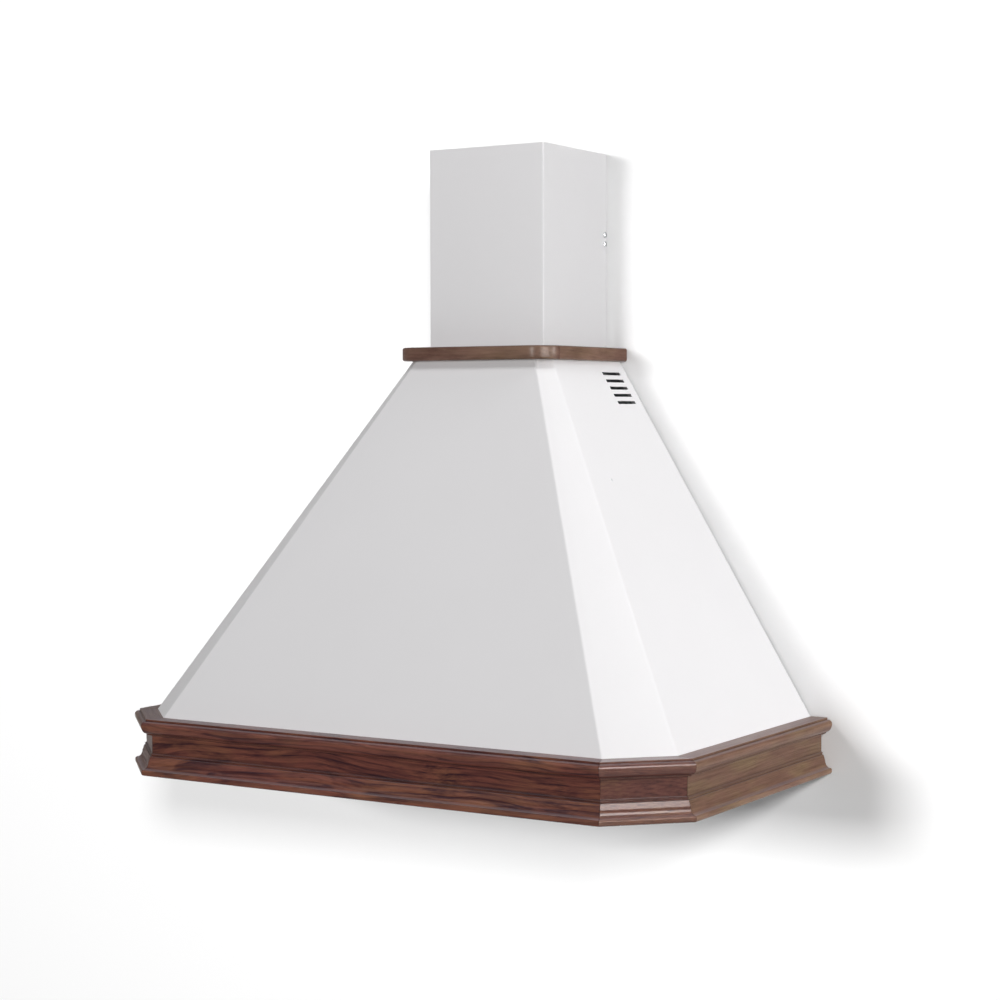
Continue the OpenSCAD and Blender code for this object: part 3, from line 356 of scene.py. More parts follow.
def stained_wood(name, turn, seed, dark, light, rings=0.0062, figure=1.0, fibre=1.0, dust_and_sheen_strength=0.30, coat=0.0,
                 worn=(0.36, 0.22, 0.16), flames=(9, 62, 62)):
    """Stained and waxed walnut whose grain runs along X after a turn about Z, in radians. Rings is their
    spacing in metres; figure, fibre and dust_and_sheen_strength are the strength of the swirls, of the fine grain
    and of the dust with its painted sheen on what faces up."""
    made, tree, place = surface(name)
    plank = node(tree, "ShaderNodeMapping", {0: place, 1: seed, 2: (0, 0, -turn)}).outputs[0]
    long_way = stretched(tree, plank, (0.3, 1, 1))
    drift = node(tree, "ShaderNodeTexNoise", {"Vector": long_way, "Scale": 9.0, "Detail": 2.5, "Roughness": 0.45})
    shift = node(tree, "ShaderNodeVectorMath", {0: drift.outputs["Color"], 1: (0.5, 0.5, 0.5)}, operation="SUBTRACT")
    swing = node(tree, "ShaderNodeVectorMath", {0: shift.outputs[0], 1: (0.0, 0.075 * figure, 0.075 * figure)},
                 operation="MULTIPLY")
    bent = node(tree, "ShaderNodeVectorMath", {0: plank, 1: swing.outputs[0]}, operation="ADD").outputs[0]
    part = axes(tree, bent)
    # Distance from a pith that runs aslant below the plank
    depth = plus(tree, part["Y"], times(tree, part["X"], 0.05 * figure))
    height = plus(tree, part["Z"], 0.035)
    reach = maths(tree, "SQRT", plus(tree, times(tree, depth, depth), times(tree, height, height)))
    ring = maths(tree, "FRACT", maths(tree, "DIVIDE", reach, rings))
    late = span(tree, ring, 0.35, 0.93, 0.0, 1.0, "SMOOTHSTEP")
    late = times(tree, late, span(tree, ring, 0.94, 1.0, 1.0, 0.0))
    fine = noise(tree, stretched(tree, bent, (9, 520, 520)), 1.0, 3.0, 0.6)
    pore = span(tree, noise(tree, stretched(tree, plank, (70, 1500, 1500)), 1.0, 1.0, 0.4), 0.62, 0.72, 0.0, 1.0)
    # Flames of darker stain follow the rings
    flame = noise(tree, stretched(tree, bent, flames), 1.0, 3.0, 0.5, 2.0)
    flame = span(tree, flame, 0.38, 0.66, -0.14, 0.34, "SMOOTHSTEP")
    tone = plus(tree, times(tree, late, 0.50 * figure), times(tree, maths(tree, "SUBTRACT", fine, 0.5), 1.1 * fibre))
    tone = plus(tree, tone, 0.20)
    tone = plus(tree, tone, times(tree, flame, figure), clamp=True)
    amber = span(tree, noise(tree, long_way, 22.0, 3.0, 0.6), 0.45, 0.66, 0.0, 0.62)
    pale = mix_colour(tree, amber, light, (light[0] * 1.3, light[1] * 1.75, light[2] * 1.25))
    colour = mix_colour(tree, tone, pale, dark)
    colour = mix_colour(tree, times(tree, pore, 0.45), colour, darker(dark, 0.35))
    # Arrises are lightened, as rubbed wear and painted highlight, and the quirks are darkened, as glaze and painted
    # shade
    glaze_and_shade = node(tree, "ShaderNodeAttribute", attribute_name="glaze_and_shade").outputs["Fac"]
    wear_and_highlight = node(tree, "ShaderNodeAttribute", attribute_name="wear_and_highlight").outputs["Fac"]
    # Edges lightened to the worn colour, as rubbed wear and painted highlight
    patchy = span(tree, noise(tree, long_way, 45.0, 4.0, 0.6), 0.35, 0.60, 0.08, 0.38)
    colour = mix_colour(tree, times(tree, wear_and_highlight, patchy), colour, worn)
    # Wax bloom and dust on what faces up, with a painted sheen that stands for the sky's reflection there
    upward = axes(tree, node(tree, "ShaderNodeNewGeometry").outputs["Normal"])["Z"]
    dust_and_sheen = times(tree, span(tree, upward, 0.68, 0.97, 0.0, dust_and_sheen_strength), plus(tree, fine, 0.5))
    colour = mix_colour(tree, dust_and_sheen, colour, (0.36, 0.30, 0.32))
    # Quirks and upper edges darkened here, as glaze and painted shade
    colour = mix_colour(tree, times(tree, glaze_and_shade, 0.58, clamp=True), colour, darker(dark, 0.4))
    relief = maths(tree, "SUBTRACT", times(tree, fine, 0.35), times(tree, pore, 0.8))
    return finished(made, tree, relief, 0.35, 0.00025, {
        "Base Color": colour, "Roughness": span(tree, fine, 0.3, 0.7, 0.30, 0.46), "Specular IOR Level": 0.10,
        "Coat Weight": coat, "Coat Roughness": 0.22})


half_width, depth, corner_leg = 450, 506, 88


def outline(inset, back=0.0):
    """Plan outline of the hood's foot, drawn in by the inset, from the rear left round to the rear right."""
    hw, d, c = half_width - inset, depth - inset, corner_leg - (2 - math.sqrt(2)) * inset
    return [(-hw, back), (-hw, -d + c), (-hw + c, -d), (hw - c, -d), (hw, -d + c), (hw, back)]


# Section of the moulding: distance in from the nose, height
moulding = ([(32, 0)] + arc(3, 3, 3, 3, 270, 180, 8) + [(0, 6.5)] + arc(1.5, 17.7, 8.5, 9.7, 270, 360, 16)
            + [(12.6, 25.7), (14.2, 25.7), (14.2, 28.3), (13.2, 28.3), (15.8, 30.3)]
            + arc(10.6, 53, 5.2, 3, 0, 90, 8) + [(9, 56), (9, 58)] + arc(9, 69.5, 9, 11.5, 270, 180, 18)[1:]
            + arc(5.5, 69.5, 5.5, 5.5, 180, 90, 12)[1:] + [(7, 75), (7, 78), (32, 78)])


def corner_distances(points, line):
    """How near each point is to the line's hollow corners, and to its sharp outer ones, from 0 to 1."""
    hollow, sharp = [], []
    for i, p in enumerate(line):
        a, b, c = Vector(line[i - 1]), Vector(p), Vector(line[(i + 1) % len(line)])
        u, v = (b - a).normalized(), (c - b).normalized()
        if u.angle(v, 0) > math.radians(20):
            (hollow if u.x * v.y - u.y * v.x > 0 else sharp).append(b)
    return [[math.exp(-min((Vector(p) - q).length for q in group) / fade) for p in points]
            for group, fade in ((hollow, 1.3), (sharp, 0.8))]


section = resample(soften(moulding, 0.5), 1.5)
section_glaze_and_shade, section_wear_and_highlight = corner_distances(section, moulding)
# The nose and the lip, which stand proudest, are lightened too, as rubbed wear and painted highlight
section_wear_and_highlight = [max(w, 0.9 * math.exp(-inset / 0.5)) for w, (inset, _) in zip(section_wear_and_highlight, section)]
section_in = offset_loop(section, [-0.25] * len(section))


def plate_pocket(x, y, turn, half_long=26.1, half_wide=6.1, inset=17.92):
    """The pocket for a mitre plate, in from the outer corner and turned to lie across the mitre."""
    along = Vector((math.cos(math.radians(turn)), math.sin(math.radians(turn))))
    inward = Vector((-along.y, along.x))
    middle = Vector((x, y)) + inward * inset
    corners = [middle + along * a * half_long + inward * b * half_wide
               for a, b in ((-1, -1), (1, -1), (1, 1), (-1, 1))]
    return loft([[(*c, z) for c in corners] for z in (-1.0, 4.0)])


pockets = [plate_pocket(*where) for where in (
    (-450, -418, -67.5), (-362, -506, -22.5), (362, -506, 22.5), (450, -418, 67.5))]


def mark(obj, key, values):
    """Keeps a value for each point of the mesh: how far the wood is darkened as glaze and painted shade, or lightened
    as wear and painted highlight.
    """
    obj.data.attributes.new(key, "FLOAT", "POINT").data.foreach_set("value", values)


def rail(name, index, material, cad_node):
    """The length of moulding along one edge of the foot's outline, a hair short of its mitres."""
    mitred = index > 0, index < 4
    ends = [[(0.12, section_in), (0.4, section)] if joint else [(0.0, section)] for joint in mitred]
    rings = []
    for side, steps in ((0, ends[0]), (1, ends[1][::-1])):
        for back, line in steps:
            ring = []
            for inset, z in line:
                loop = outline(inset)
                a, b = Vector(loop[index]), Vector(loop[index + 1])
                way = (b - a).normalized() * back
                ring.append((*(b - way if side else a + way), z))
            rings.append(ring)
    first = len(ends[0])
    rings[first:first] = [[tuple(Vector(p).lerp(Vector(q), t)) for p, q in zip(rings[first - 1], rings[first])]
                          for t in (0.25, 0.5, 0.75)]
    obj = mesh_object(name, *loft(rings))
    # The quirks are darkened as glaze and painted shade, and glaze gathers dark in the mitres too
    glaze_shade_rows = [section_glaze_and_shade] * len(rings)
    for end, joint in zip((0, -1), mitred):
        if joint:
            glaze_shade_rows[end] = [1.0] * len(section)
    mark(obj, "glaze_and_shade", sum(glaze_shade_rows, []))
    mark(obj, "wear_and_highlight", section_wear_and_highlight * len(rings))
    shade(obj)
    for pocket in pockets[max(0, index - 1):index + 1]:
        cut_away(obj, *pocket)
    return settle(obj, "hood", material, [cad_node], 30)


umber, russet, tan = (0.036, 0.0075, 0.0085), (0.185, 0.060, 0.043), (0.12, 0.055, 0.040)
rail("left_side_moulding", 0, stained_wood(
    "walnut_left", math.pi / 2, (0.3, 0.1, 0.2), umber, tan, figure=0.5), "left_side_rail")
rail("left_corner_moulding", 1, stained_wood(
    "walnut_left_corner", -math.pi / 4, (1.3, 0.4, 0.1), umber, tan, figure=0.6), "left_corner_rail")
front = rail("front_moulding", 2, stained_wood(
    "walnut_front", 0.0, (0.0, 0.47, 0.0), (0.036, 0.009, 0.013), russet, rings=0.0085, fibre=1.5, dust_and_sheen_strength=0.45,
    worn=(0.26, 0.12, 0.07), flames=(7, 42, 42)), "front_rail")
right_corner = rail("right_corner_moulding", 3, stained_wood(
    "walnut_right_corner", math.pi / 4 + 0.12, (0.7, 0.2, 0.6), (0.036, 0.008, 0.008), (0.155, 0.055, 0.040),
    rings=0.0034, figure=0.5, fibre=1.8, coat=0.55), "right_corner_rail")
# Its paler, flatter colours are partly its own stain and partly a painted sheen from the light on this side
rail("right_side_moulding", 4, stained_wood(
    "walnut_right", math.pi / 2, (0.1, 0.9, 0.4), (0.085, 0.041, 0.029), (0.195, 0.104, 0.071),
    rings=0.0045, figure=0.35, fibre=1.5, dust_and_sheen_strength=0.4), "right_side_rail")
corner_only.objects.link(right_corner)
front_only.objects.link(front)


# Canopy
# White painted steel sheet, folded round a skirt inside the cornice, up four creases to a flange under the
# collar, with five punched slots high on each side. The paint is smooth, with a faint orange peel.
def painted_sheet(name, colour, rough=0.34):
    made, tree, place = surface(name)
    fade = span(tree, noise(tree, place, 5.0, 3.0), 0.3, 0.7, 0.0, 1.0)
    gloss = span(tree, noise(tree, place, 40.0, 3.0), 0.3, 0.7, rough - 0.04, rough + 0.06)
    peel = noise(tree, place, 420.0, 1.0)
    return finished(made, tree, peel, 0.12, 0.0002, {
        "Base Color": mix_colour(tree, fade, darker(colour, 0.985), colour), "Roughness": gloss,
        "Specular IOR Level": 0.25})


enamel = painted_sheet("white_enamel", (0.80, 0.79, 0.80))
canopy_foot, canopy_top, rear_y = 78, 575, -1.2


def canopy_line(z):
    """Plan outline of the canopy's sheet at a height, from the rear left round to the rear right."""
    t = (z - canopy_foot) / (canopy_top - canopy_foot)
    hw, d, c = 418 - 302 * t, 474 - 262 * t, 69.25 - 51.25 * t
    return [(-hw, rear_y), (-hw, -d + c), (-hw + c, -d), (hw - c, -d), (hw, -d + c), (hw, rear_y)]


def oblong(x, y, half_x, half_y):
    """The corners of a rectangle, given by its middle and half its sides."""
    return [(x - half_x, y - half_y), (x + half_x, y - half_y), (x + half_x, y + half_y), (x - half_x, y + half_y)]


def joined(*parts):
    verts, faces = [], []
    for v, f in parts:
        faces += [tuple(i + len(verts) for i in face) for face in f]
        verts += v
    return verts, faces


def take_in(obj, *others):
    """Adds the meshes of the other objects to the object's own, and removes them."""
    mesh = bmesh.new()
    mesh.from_mesh(obj.data)
    for other in others:
        mesh.from_mesh(other.data)
        bpy.data.objects.remove(other)
    mesh.to_mesh(obj.data)
    mesh.free()


def sheet_metal(obj, thickness):
    """Gives the skin its thickness, to the inside of its faces."""
    solid = obj.modifiers.new("sheet", "SOLIDIFY")
    solid.thickness, solid.offset, solid.use_even_offset = thickness / 1000, -1, True
    apply_modifiers(obj)


def slots_mesh():
    """The five slots of each side, cut straight in through the panel."""
    boxes = []
    for i in range(5):
        z = 556.5 - 10.3 * i
        x = canopy_line(z)[-1][0]
        for side in (-1, 1):
            ring = soften(oblong(-46, 0, 26, 2.1), 1.2)
            boxes.append(loft([[(side * (x + dx), y, z + dz) for y, dz in ring] for dx in (-14, 14)]))
    return joined(*boxes)


# The sheet runs from the seat under the cornice up the skirt, the four creases and in to the flange
flange_line = [(-84, rear_y), (-84, -169), (-82, -171), (82, -171), (84, -169), (84, rear_y)]
levels = [(outline(46, rear_y), 36.0), (outline(32, rear_y), 36.0), (outline(32, rear_y), canopy_foot),
          (canopy_line(canopy_top), canopy_top), (flange_line, canopy_top)]
rows = [[(*p, z) for p in soften(line, 2.2, closed=False, least=5)] for line, z in levels]
canopy = mesh_object("canopy_sheet", *loft(rows, closed=False, caps=False))
sheet_metal(canopy, 1.0)
cut_away(canopy, *slots_mesh())
take_in(canopy, mesh_object("rear_flanges", *joined(*(loft([
    [(side * x, y, z) for x, y in ((edge, -1.25), (edge - 15, -1.25), (edge - 15, -2.2), (edge, -2.2))]
    for edge, z in ((417.5, canopy_foot), (115.5, canopy_top - 1))]) for side in (-1, 1)))))
settle(canopy, "hood", enamel, ["canopy_shell"], 20)


# Wooden collar
# Three flat boards of the same stained walnut, round their outer edges and mitre-free: the front board with
# its rounded corners, and a board along each side, screwed up from inside the canopy.
collar_foot, collar_top = canopy_top, 594


def eased(low, high, radius, steps):
    """Inset and height of the rings up a body whose lower and upper edges are rounded."""
    curve = arc(0, 0, radius, radius, 0, 90, steps)
    return ([(radius - a, low + radius - b) for a, b in reversed(curve)]
            + [(radius - a, high - radius + b) for a, b in curve])


def board(name, points, kinds, material, cad_node):
    """A flat board: outer edges ("o") are rounded, joints ("j") barely eased, inner edges ("i") square."""
    rings = []
    steps = eased(collar_foot, collar_top, 3, 6)
    for inset, z in steps:
        amount = {"o": inset, "j": 0.1 + min(inset, 0.35), "i": 0.0}
        rings.append([(*p, z) for p in offset_loop(points, [amount[k] for k in kinds])])
    obj = mesh_object(name, *loft(rings))
    # The upper edges are darkened a little, and the rest is lightened in patches
    near = [min(1.0, math.exp(-abs(z - collar_top) / 0.9) * (1 if inset > 1 else 0.5)) for inset, z in steps]
    values = [v for v in near for _ in points]
    mark(obj, "glaze_and_shade", [0.5 * v for v in values])
    mark(obj, "wear_and_highlight", [1 - v for v in values])
    return settle(obj, "hood", material, [cad_node], 25)


inner_x, joint_y, outer_x, corner_r = 84, -193.5, 127.5, 34
arc_x = outer_x - corner_r
front_edge = (arc(-arc_x, joint_y, corner_r, corner_r, 180, 270, 12)
              + arc(arc_x, joint_y, corner_r, corner_r, 270, 360, 12))
front_points = front_edge + [(inner_x, joint_y), (inner_x, -171), (-inner_x, -171), (-inner_x, joint_y)]
front_kinds = ["o"] * (len(front_edge) - 1) + ["j", "j", "i", "j", "j"]
milky = (0.036, 0.015, 0.012), (0.125, 0.061, 0.045)
fold_only.objects.link(board("collar_front", front_points, front_kinds, stained_wood(
    "walnut_collar", 0.0, (0.2, 0.6, 0.3), *milky, rings=0.005, figure=0.5, coat=0.14), "collar_front_board"))
for side, cad_node, kinds in ((1, "collar_right_board", "joij"), (-1, "collar_left_board", "jjio")):
    near_x, far_x = sorted((side * inner_x, side * outer_x))
    points = [(near_x, joint_y), (far_x, joint_y), (far_x, 0), (near_x, 0)]
    board(cad_node.replace("_board", ""), points, kinds, stained_wood(
        "walnut_" + cad_node, math.pi / 2, (0.4, 0.3 * side, 0.8), *milky, rings=0.005, figure=0.4), cad_node)


# Chimney
# A painted cover folded from one sheet, open at the back between two narrow flanges, and inside it the
# telescopic section, slotted along the lock screws. Both stand on the collar.
def chimney_mesh(hw, d, z0, z1, radius, back, flange):
    """One folded sheet: half its width, its depth and heights, the folds' radius, and the rear flanges."""
    path = [(-hw + flange, back), (-hw, back), (-hw, -d), (hw, -d), (hw, back), (hw - flange, back)]
    line = soften(path, radius, closed=False)
    return loft([[(*p, z) for p in line] for z in (z0, z1)], closed=False, caps=False)


cover = mesh_object("chimney_sheet", *chimney_mesh(94.5, 182, collar_top, 876, 2.4, 0, 15))
sheet_metal(cover, 1.0)
settle(cover, "hood", enamel, ["chimney_cover"], 20)

inner = mesh_object("telescopic_sheet", *chimney_mesh(93, 180.5, collar_top + 0.3, 874, 2.0, -1.5, 15))
sheet_metal(inner, 0.8)
slot_line = soften(oblong(-6.5, 692.5, 2.75, 69.5), 2.6)
cut_away(inner, *joined(*(loft([[(side * x, y, z) for y, z in slot_line] for x in (89, 97)]) for side in (-1, 1))))
settle(inner, "upper_chimney", enamel, ["upper_chimney"], 20)
for sheet in (cover, inner):
    chimney_only.objects.link(sheet)
    fold_only.objects.link(sheet)
    all_but_chimney.objects.link(sheet)
for member in all_but_chimney.collection_objects:
    member.light_linking.link_state = "EXCLUDE"


# Screws and rivets
# Zinc-plated pan-head screws with a cross recess, alike but for their length: in the pan, the cornice and its
# mitre plates, the collar, the chimney and the blower. Each is driven where its CAD screw stands. The small
# domed rivets in the side panels are plated alike.
def metal(name, colour, rough, grain=(30, 30, 30), grain_size=0.12, patch=0.0, patch_scale=90.0):
    """Bare metal: fine grain of its own direction, and flakes of crystal where it is galvanised."""
    made, tree, place = surface(name)
    fine = noise(tree, stretched(tree, place, grain), 12.0, 3.0, 0.6)
    flake = node(tree, "ShaderNodeTexVoronoi", {"Vector": place, "Scale": patch_scale, "Randomness": 1.0})
    grey = node(tree, "ShaderNodeSeparateColor", {0: flake.outputs["Color"]}).outputs[0]
    dimmed = plus(tree, times(tree, fine, 0.12), times(tree, grey, patch))
    base = mix_colour(tree, dimmed, colour, darker(colour, 0.45))
    stain = span(tree, noise(tree, place, 9.0, 4.0, 0.6), 0.5, 0.75, 0.0, 0.25)
    gloss = plus(tree, rough - 0.06, plus(tree, times(tree, fine, grain_size), times(tree, grey, patch * 0.5)))
    return finished(made, tree, fine, 0.2, 0.0001, {
        "Base Color": mix_colour(tree, stain, base, darker(colour, 0.7)), "Roughness": gloss, "Metallic": 1.0})


zinc_plate = metal("zinc_plate", (0.66, 0.67, 0.68), 0.32)
galvanised = metal("galvanised_sheet", (0.60, 0.62, 0.64), 0.40, patch=0.35, patch_scale=110.0)


def spin(profile, steps, centre=(0, 0), closed=True):
    """A round skin from a profile of radius and height; closed joins its last point to its first."""
    rings = []
    for i in range(steps):
        a = 2 * math.pi * i / steps
        rings.append([(centre[0] + r * math.cos(a), centre[1] + r * math.sin(a), z) for r, z in profile])
    return loft(rings, closed=closed, around=True)


def islands(cad_node):
    """The points of each separate solid of a CAD node, in millimetres."""
    mesh = bmesh.new()
    mesh.from_mesh(nodes[cad_node].data)
    bmesh.ops.remove_doubles(mesh, verts=mesh.verts, dist=1e-5)
    left, groups = set(mesh.verts), []
    for first in mesh.verts:
        if first not in left:
            continue
        left.remove(first)
        edge, group = [first], []
        while edge:
            vert = edge.pop()
            group.append(tuple(vert.co * 1000))
            near = [link.other_vert(vert) for link in vert.link_edges]
            edge += [v for v in near if v in left]
            left -= set(near)
        groups.append(np.array(group))
    mesh.free()
    return groups


def screw_places(cad_node):
    """Seat, direction of the head, head radius and shank length of each screw of a CAD node."""
    found = []
    for points in islands(cad_node):
        middle = points.mean(0)
        spread, ways = np.linalg.eigh(np.cov((points - middle).T))
        axis = ways[:, 0 if spread[1] - spread[0] > spread[2] - spread[1] else 2]
        along = (points - middle) @ axis
        radius = np.linalg.norm(points - middle - np.outer(along, axis), axis=1)
        rim = along[radius > 0.97 * radius.max()]
        if rim.mean() < 0:
            axis, along, rim = -axis, -along, -rim
        found.append((middle + axis * rim.min(), axis, radius.max(), rim.min() - along.min()))
    return found


# A head of radius 1 with a cross recess, and a threaded shank 1 long, to be scaled to each screw
dome = [(0.0, 0.0), (1.0, 0.0), (1.0, 0.22), (0.96, 0.34), (0.84, 0.44), (0.62, 0.51), (0.34, 0.548), (0.0, 0.56)]
head = mesh_object("screw_head", *spin(dome, 28, closed=False))
for turn in (0, 1):
    arms = [[(x, y, z) for x, y in oblong(0, 0, w, 0.1 + t)] for w, t, z in ((0.22, 0.0, 0.18), (0.62, 0.05, 0.7))]
    cut_away(head, *loft([[(y, x, z) if turn else (x, y, z) for x, y, z in ring] for ring in arms]))
shade(head, 30)
thread = [(0.0, -1.0), (0.2, -1.0), (0.36, -0.93)]
for i in range(14):
    thread += [(0.36, -0.9 + i * 0.06), (0.437, -0.875 + i * 0.06)]
shank = mesh_object("screw_shank", *spin(thread + [(0.36, -0.03), (0.437, 0.05)], 14, closed=False))
shade(shank, 30)


def node_group(name, *inputs):
    """A geometry node tree with named inputs, each a name and a kind, and the sockets that give them."""
    tree = bpy.data.node_groups.new(name, "GeometryNodeTree")
    for title, kind in (("Geometry", "Geometry"), *inputs):
        tree.interface.new_socket(title, in_out="INPUT", socket_type="NodeSocket" + kind)
    tree.interface.new_socket("Geometry", in_out="OUTPUT", socket_type="NodeSocketGeometry")
    return tree, node(tree, "NodeGroupInput").outputs


def made_real(tree, instances, material):
    """Ends a tree: its instances become plain mesh and take the material."""
    real = node(tree, "GeometryNodeRealizeInstances", {0: instances}).outputs[0]
    done = node(tree, "GeometryNodeSetMaterial", {"Geometry": real, "Material": material}).outputs[0]
    node(tree, "NodeGroupOutput", {0: done})
    return tree


def screw_tree():
    """Geometry nodes that stand a head and a shank on each point, along its axis and turned at random."""
    tree, given = node_group(
        "screws", ("Head", "Object"), ("Shank", "Object"), ("Seed", "Int"), ("Finish", "Material"))
    axis, size = (node(tree, "GeometryNodeInputNamedAttribute", {"Name": name}, data_type="FLOAT_VECTOR").outputs[0]
                  for name in ("axis", "size"))
    aim = node(tree, "FunctionNodeAlignRotationToVector", {"Vector": axis}, axis="Z").outputs[0]
    angle = node(tree, "FunctionNodeRandomValue", {2: 0.0, 3: 6.283, "Seed": given["Seed"]},
                 data_type="FLOAT").outputs[1]
    twist = node(tree, "FunctionNodeEulerToRotation", {
        0: node(tree, "ShaderNodeCombineXYZ", {"Z": angle}).outputs[0]}).outputs[0]
    turned = node(tree, "FunctionNodeRotateRotation", {0: aim, 1: twist}, rotation_space="LOCAL").outputs[0]
    radius = axes(tree, size)["X"]
    round_size = node(tree, "ShaderNodeCombineXYZ", {"X": radius, "Y": radius, "Z": radius}).outputs[0]
    parts = node(tree, "GeometryNodeJoinGeometry")
    for which, scale in (("Shank", size), ("Head", round_size)):
        shape = node(tree, "GeometryNodeObjectInfo", {0: given[which]}).outputs["Geometry"]
        stood = node(tree, "GeometryNodeInstanceOnPoints", {
            "Points": given["Geometry"], "Instance": shape, "Rotation": turned, "Scale": scale}).outputs[0]
        tree.links.new(stood, parts.inputs[0])
    return made_real(tree, parts.outputs[0], given["Finish"])


screws = screw_tree()


def grow(obj, tree, **values):
    """Runs a geometry node tree on the object with its named inputs, and keeps the mesh that it makes."""
    modifier = obj.modifiers.new("grow", "NODES")
    modifier.node_group = tree
    for socket in tree.interface.items_tree:
        if socket.in_out == "INPUT" and socket.name in values:
            modifier[socket.identifier] = values[socket.name]
    apply_modifiers(obj)


for seed, cad_node in enumerate(("pan_screws", "cornice_screws", "collar_screws", "cover_screws", "blower_screws")):
    places = screw_places(cad_node)
    obj = mesh_object(cad_node.replace("_screws", "_screw_set"), [seat for seat, *_ in places], [])
    for key, values in (("axis", [axis for _, axis, _, _ in places]),
                        ("size", [(r, r, length) for _, _, r, length in places])):
        data = obj.data.attributes.new(key, "FLOAT_VECTOR", "POINT").data
        data.foreach_set("vector", np.array(values, np.float32).ravel())
    grow(obj, screws, Head=head, Shank=shank, Seed=seed, Finish=zinc_plate)
    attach(obj, "hood")
    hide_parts(cad_node)
for helper in (head, shank):
    bpy.data.objects.remove(helper)


def smooth_copy(name, cad_node, body, material, angle=30):
    """A CAD node's own form with its facets shaded round."""
    mesh = bmesh.new()
    mesh.from_mesh(nodes[cad_node].data)
    bmesh.ops.remove_doubles(mesh, verts=mesh.verts, dist=1e-5)
    bmesh.ops.dissolve_limit(mesh, angle_limit=0.01, verts=mesh.verts, edges=mesh.edges)
    made = bpy.data.meshes.new(name)
    mesh.to_mesh(made)
    mesh.free()
    obj = bpy.data.objects.new(name, made)
    scene.collection.objects.link(obj)
    return settle(obj, body, material, [cad_node], angle)


smooth_copy("domed_rivets", "panel_rivets", "hood", zinc_plate, 40)


# Grease filters
# Two frames folded from aluminium strip, with mitred corners, each round three layers of expanded mesh. A black
# sprung latch with a finger grip sits in a seat at the front, and two tabs rest on the pan at the rear.
aluminium = metal("satin_aluminium", (0.72, 0.73, 0.74), 0.34, grain=(8, 60, 60))


def moulded(name, colour, rough=0.45, grain=900.0, depth=0.25):
    """Moulded plastic or rubber with a fine spark-eroded grain."""
    made, tree, place = surface(name)
    worn = noise(tree, place, 25.0, 4.0, 0.6)
    base = mix_colour(tree, worn, darker(colour, 0.85), tuple(min(1.0, c * 1.12) for c in colour))
    return finished(made, tree, noise(tree, place, grain, 2.0, 0.6), depth, 0.0001, {
        "Base Color": base, "Roughness": span(tree, worn, 0.3, 0.7, rough - 0.07, rough + 0.07)})


black_plastic = moulded("black_plastic", (0.022, 0.022, 0.024))


def soft_block(lo, hi, edge=0.8, corner=1.5):
    """A block whose upright edges have the corner radius, and all others the edge radius."""
    (x0, y0, z0), (x1, y1, z1) = lo, hi
    plan = soften([(x0, y0), (x1, y0), (x1, y1), (x0, y1)], corner * 1.4)
    return loft(drawn_in(plan, eased(z0, z1, edge, 4)))


def strip_frame(x0, y0, x1, y1, profile):
    """A folded strip carried round a rectangle with mitred corners, as four separate lengths."""
    parts = []
    loops = [[(x0 + i, y0 + i), (x1 - i, y0 + i), (x1 - i, y1 - i), (x0 + i, y1 - i)] for i, _ in profile]
    for k in range(4):
        ends = []
        for end, back in ((k, 0.12), ((k + 1) % 4, -0.12)):
            ring = []
            for loop, (_, z) in zip(loops, profile):
                a, b = Vector(loop[k]), Vector(loop[(k + 1) % 4])
                way = (b - a).normalized() * back
                ring.append((*(Vector(loop[end]) + way), z))
            ends.append(ring)
        parts.append(loft(ends))
    return parts


def mesh_tree():
    """Geometry nodes that lay a strand cross on each point of a grid, leaving the latch's seat free."""
    tree, given = node_group(
        "expanded_mesh", ("Strand", "Object"), ("Width", "Float"), ("Depth", "Float"), ("Columns", "Int"),
        ("Rows", "Int"), ("Centre", "Vector"), ("Seat half width", "Float"), ("Seat depth", "Float"),
        ("Finish", "Material"))
    grid = node(tree, "GeometryNodeMeshGrid", {
        0: given["Width"], 1: given["Depth"], 2: given["Columns"], 3: given["Rows"]}).outputs[0]
    place = axes(tree, node(tree, "GeometryNodeInputPosition").outputs[0])
    beside = maths(tree, "LESS_THAN", maths(tree, "ABSOLUTE", place["X"]), given["Seat half width"])
    inside = times(tree, beside, maths(tree, "LESS_THAN", place["Y"], given["Seat depth"]))
    kept = node(tree, "GeometryNodeDeleteGeometry", {0: grid, 1: inside}, domain="POINT").outputs[0]
    shape = node(tree, "GeometryNodeObjectInfo", {0: given["Strand"]}).outputs["Geometry"]
    laid = node(tree, "GeometryNodeInstanceOnPoints", {"Points": kept, "Instance": shape}).outputs[0]
    moved = node(tree, "GeometryNodeTransform", {"Geometry": laid, "Translation": given["Centre"]}).outputs[0]
    return made_real(tree, moved, given["Finish"])


def strand_cross(w, h, width, thick, lean):
    """Four arms of flat strand from a knuckle to the next ones, each leaning about its own length."""
    parts = []
    for sx, sy in ((1, 1), (-1, 1), (-1, -1), (1, -1)):
        way = Vector((sx * w / 2, sy * h / 2, 0.0))
        along, across = way.normalized(), Vector((-sy * h, sx * w, 0)).normalized()
        tilt = (across * math.cos(lean) + Vector((0, 0, math.sin(lean)))) * width / 2
        rise = along.cross(tilt).normalized() * thick / 2
        parts.append(loft([[tuple(way * t + tilt * a + rise * b) for a, b in ((-1, -1), (1, -1), (1, 1), (-1, 1))]
                           for t in (0.0, 1.0)], caps=False))
    return joined(*parts)


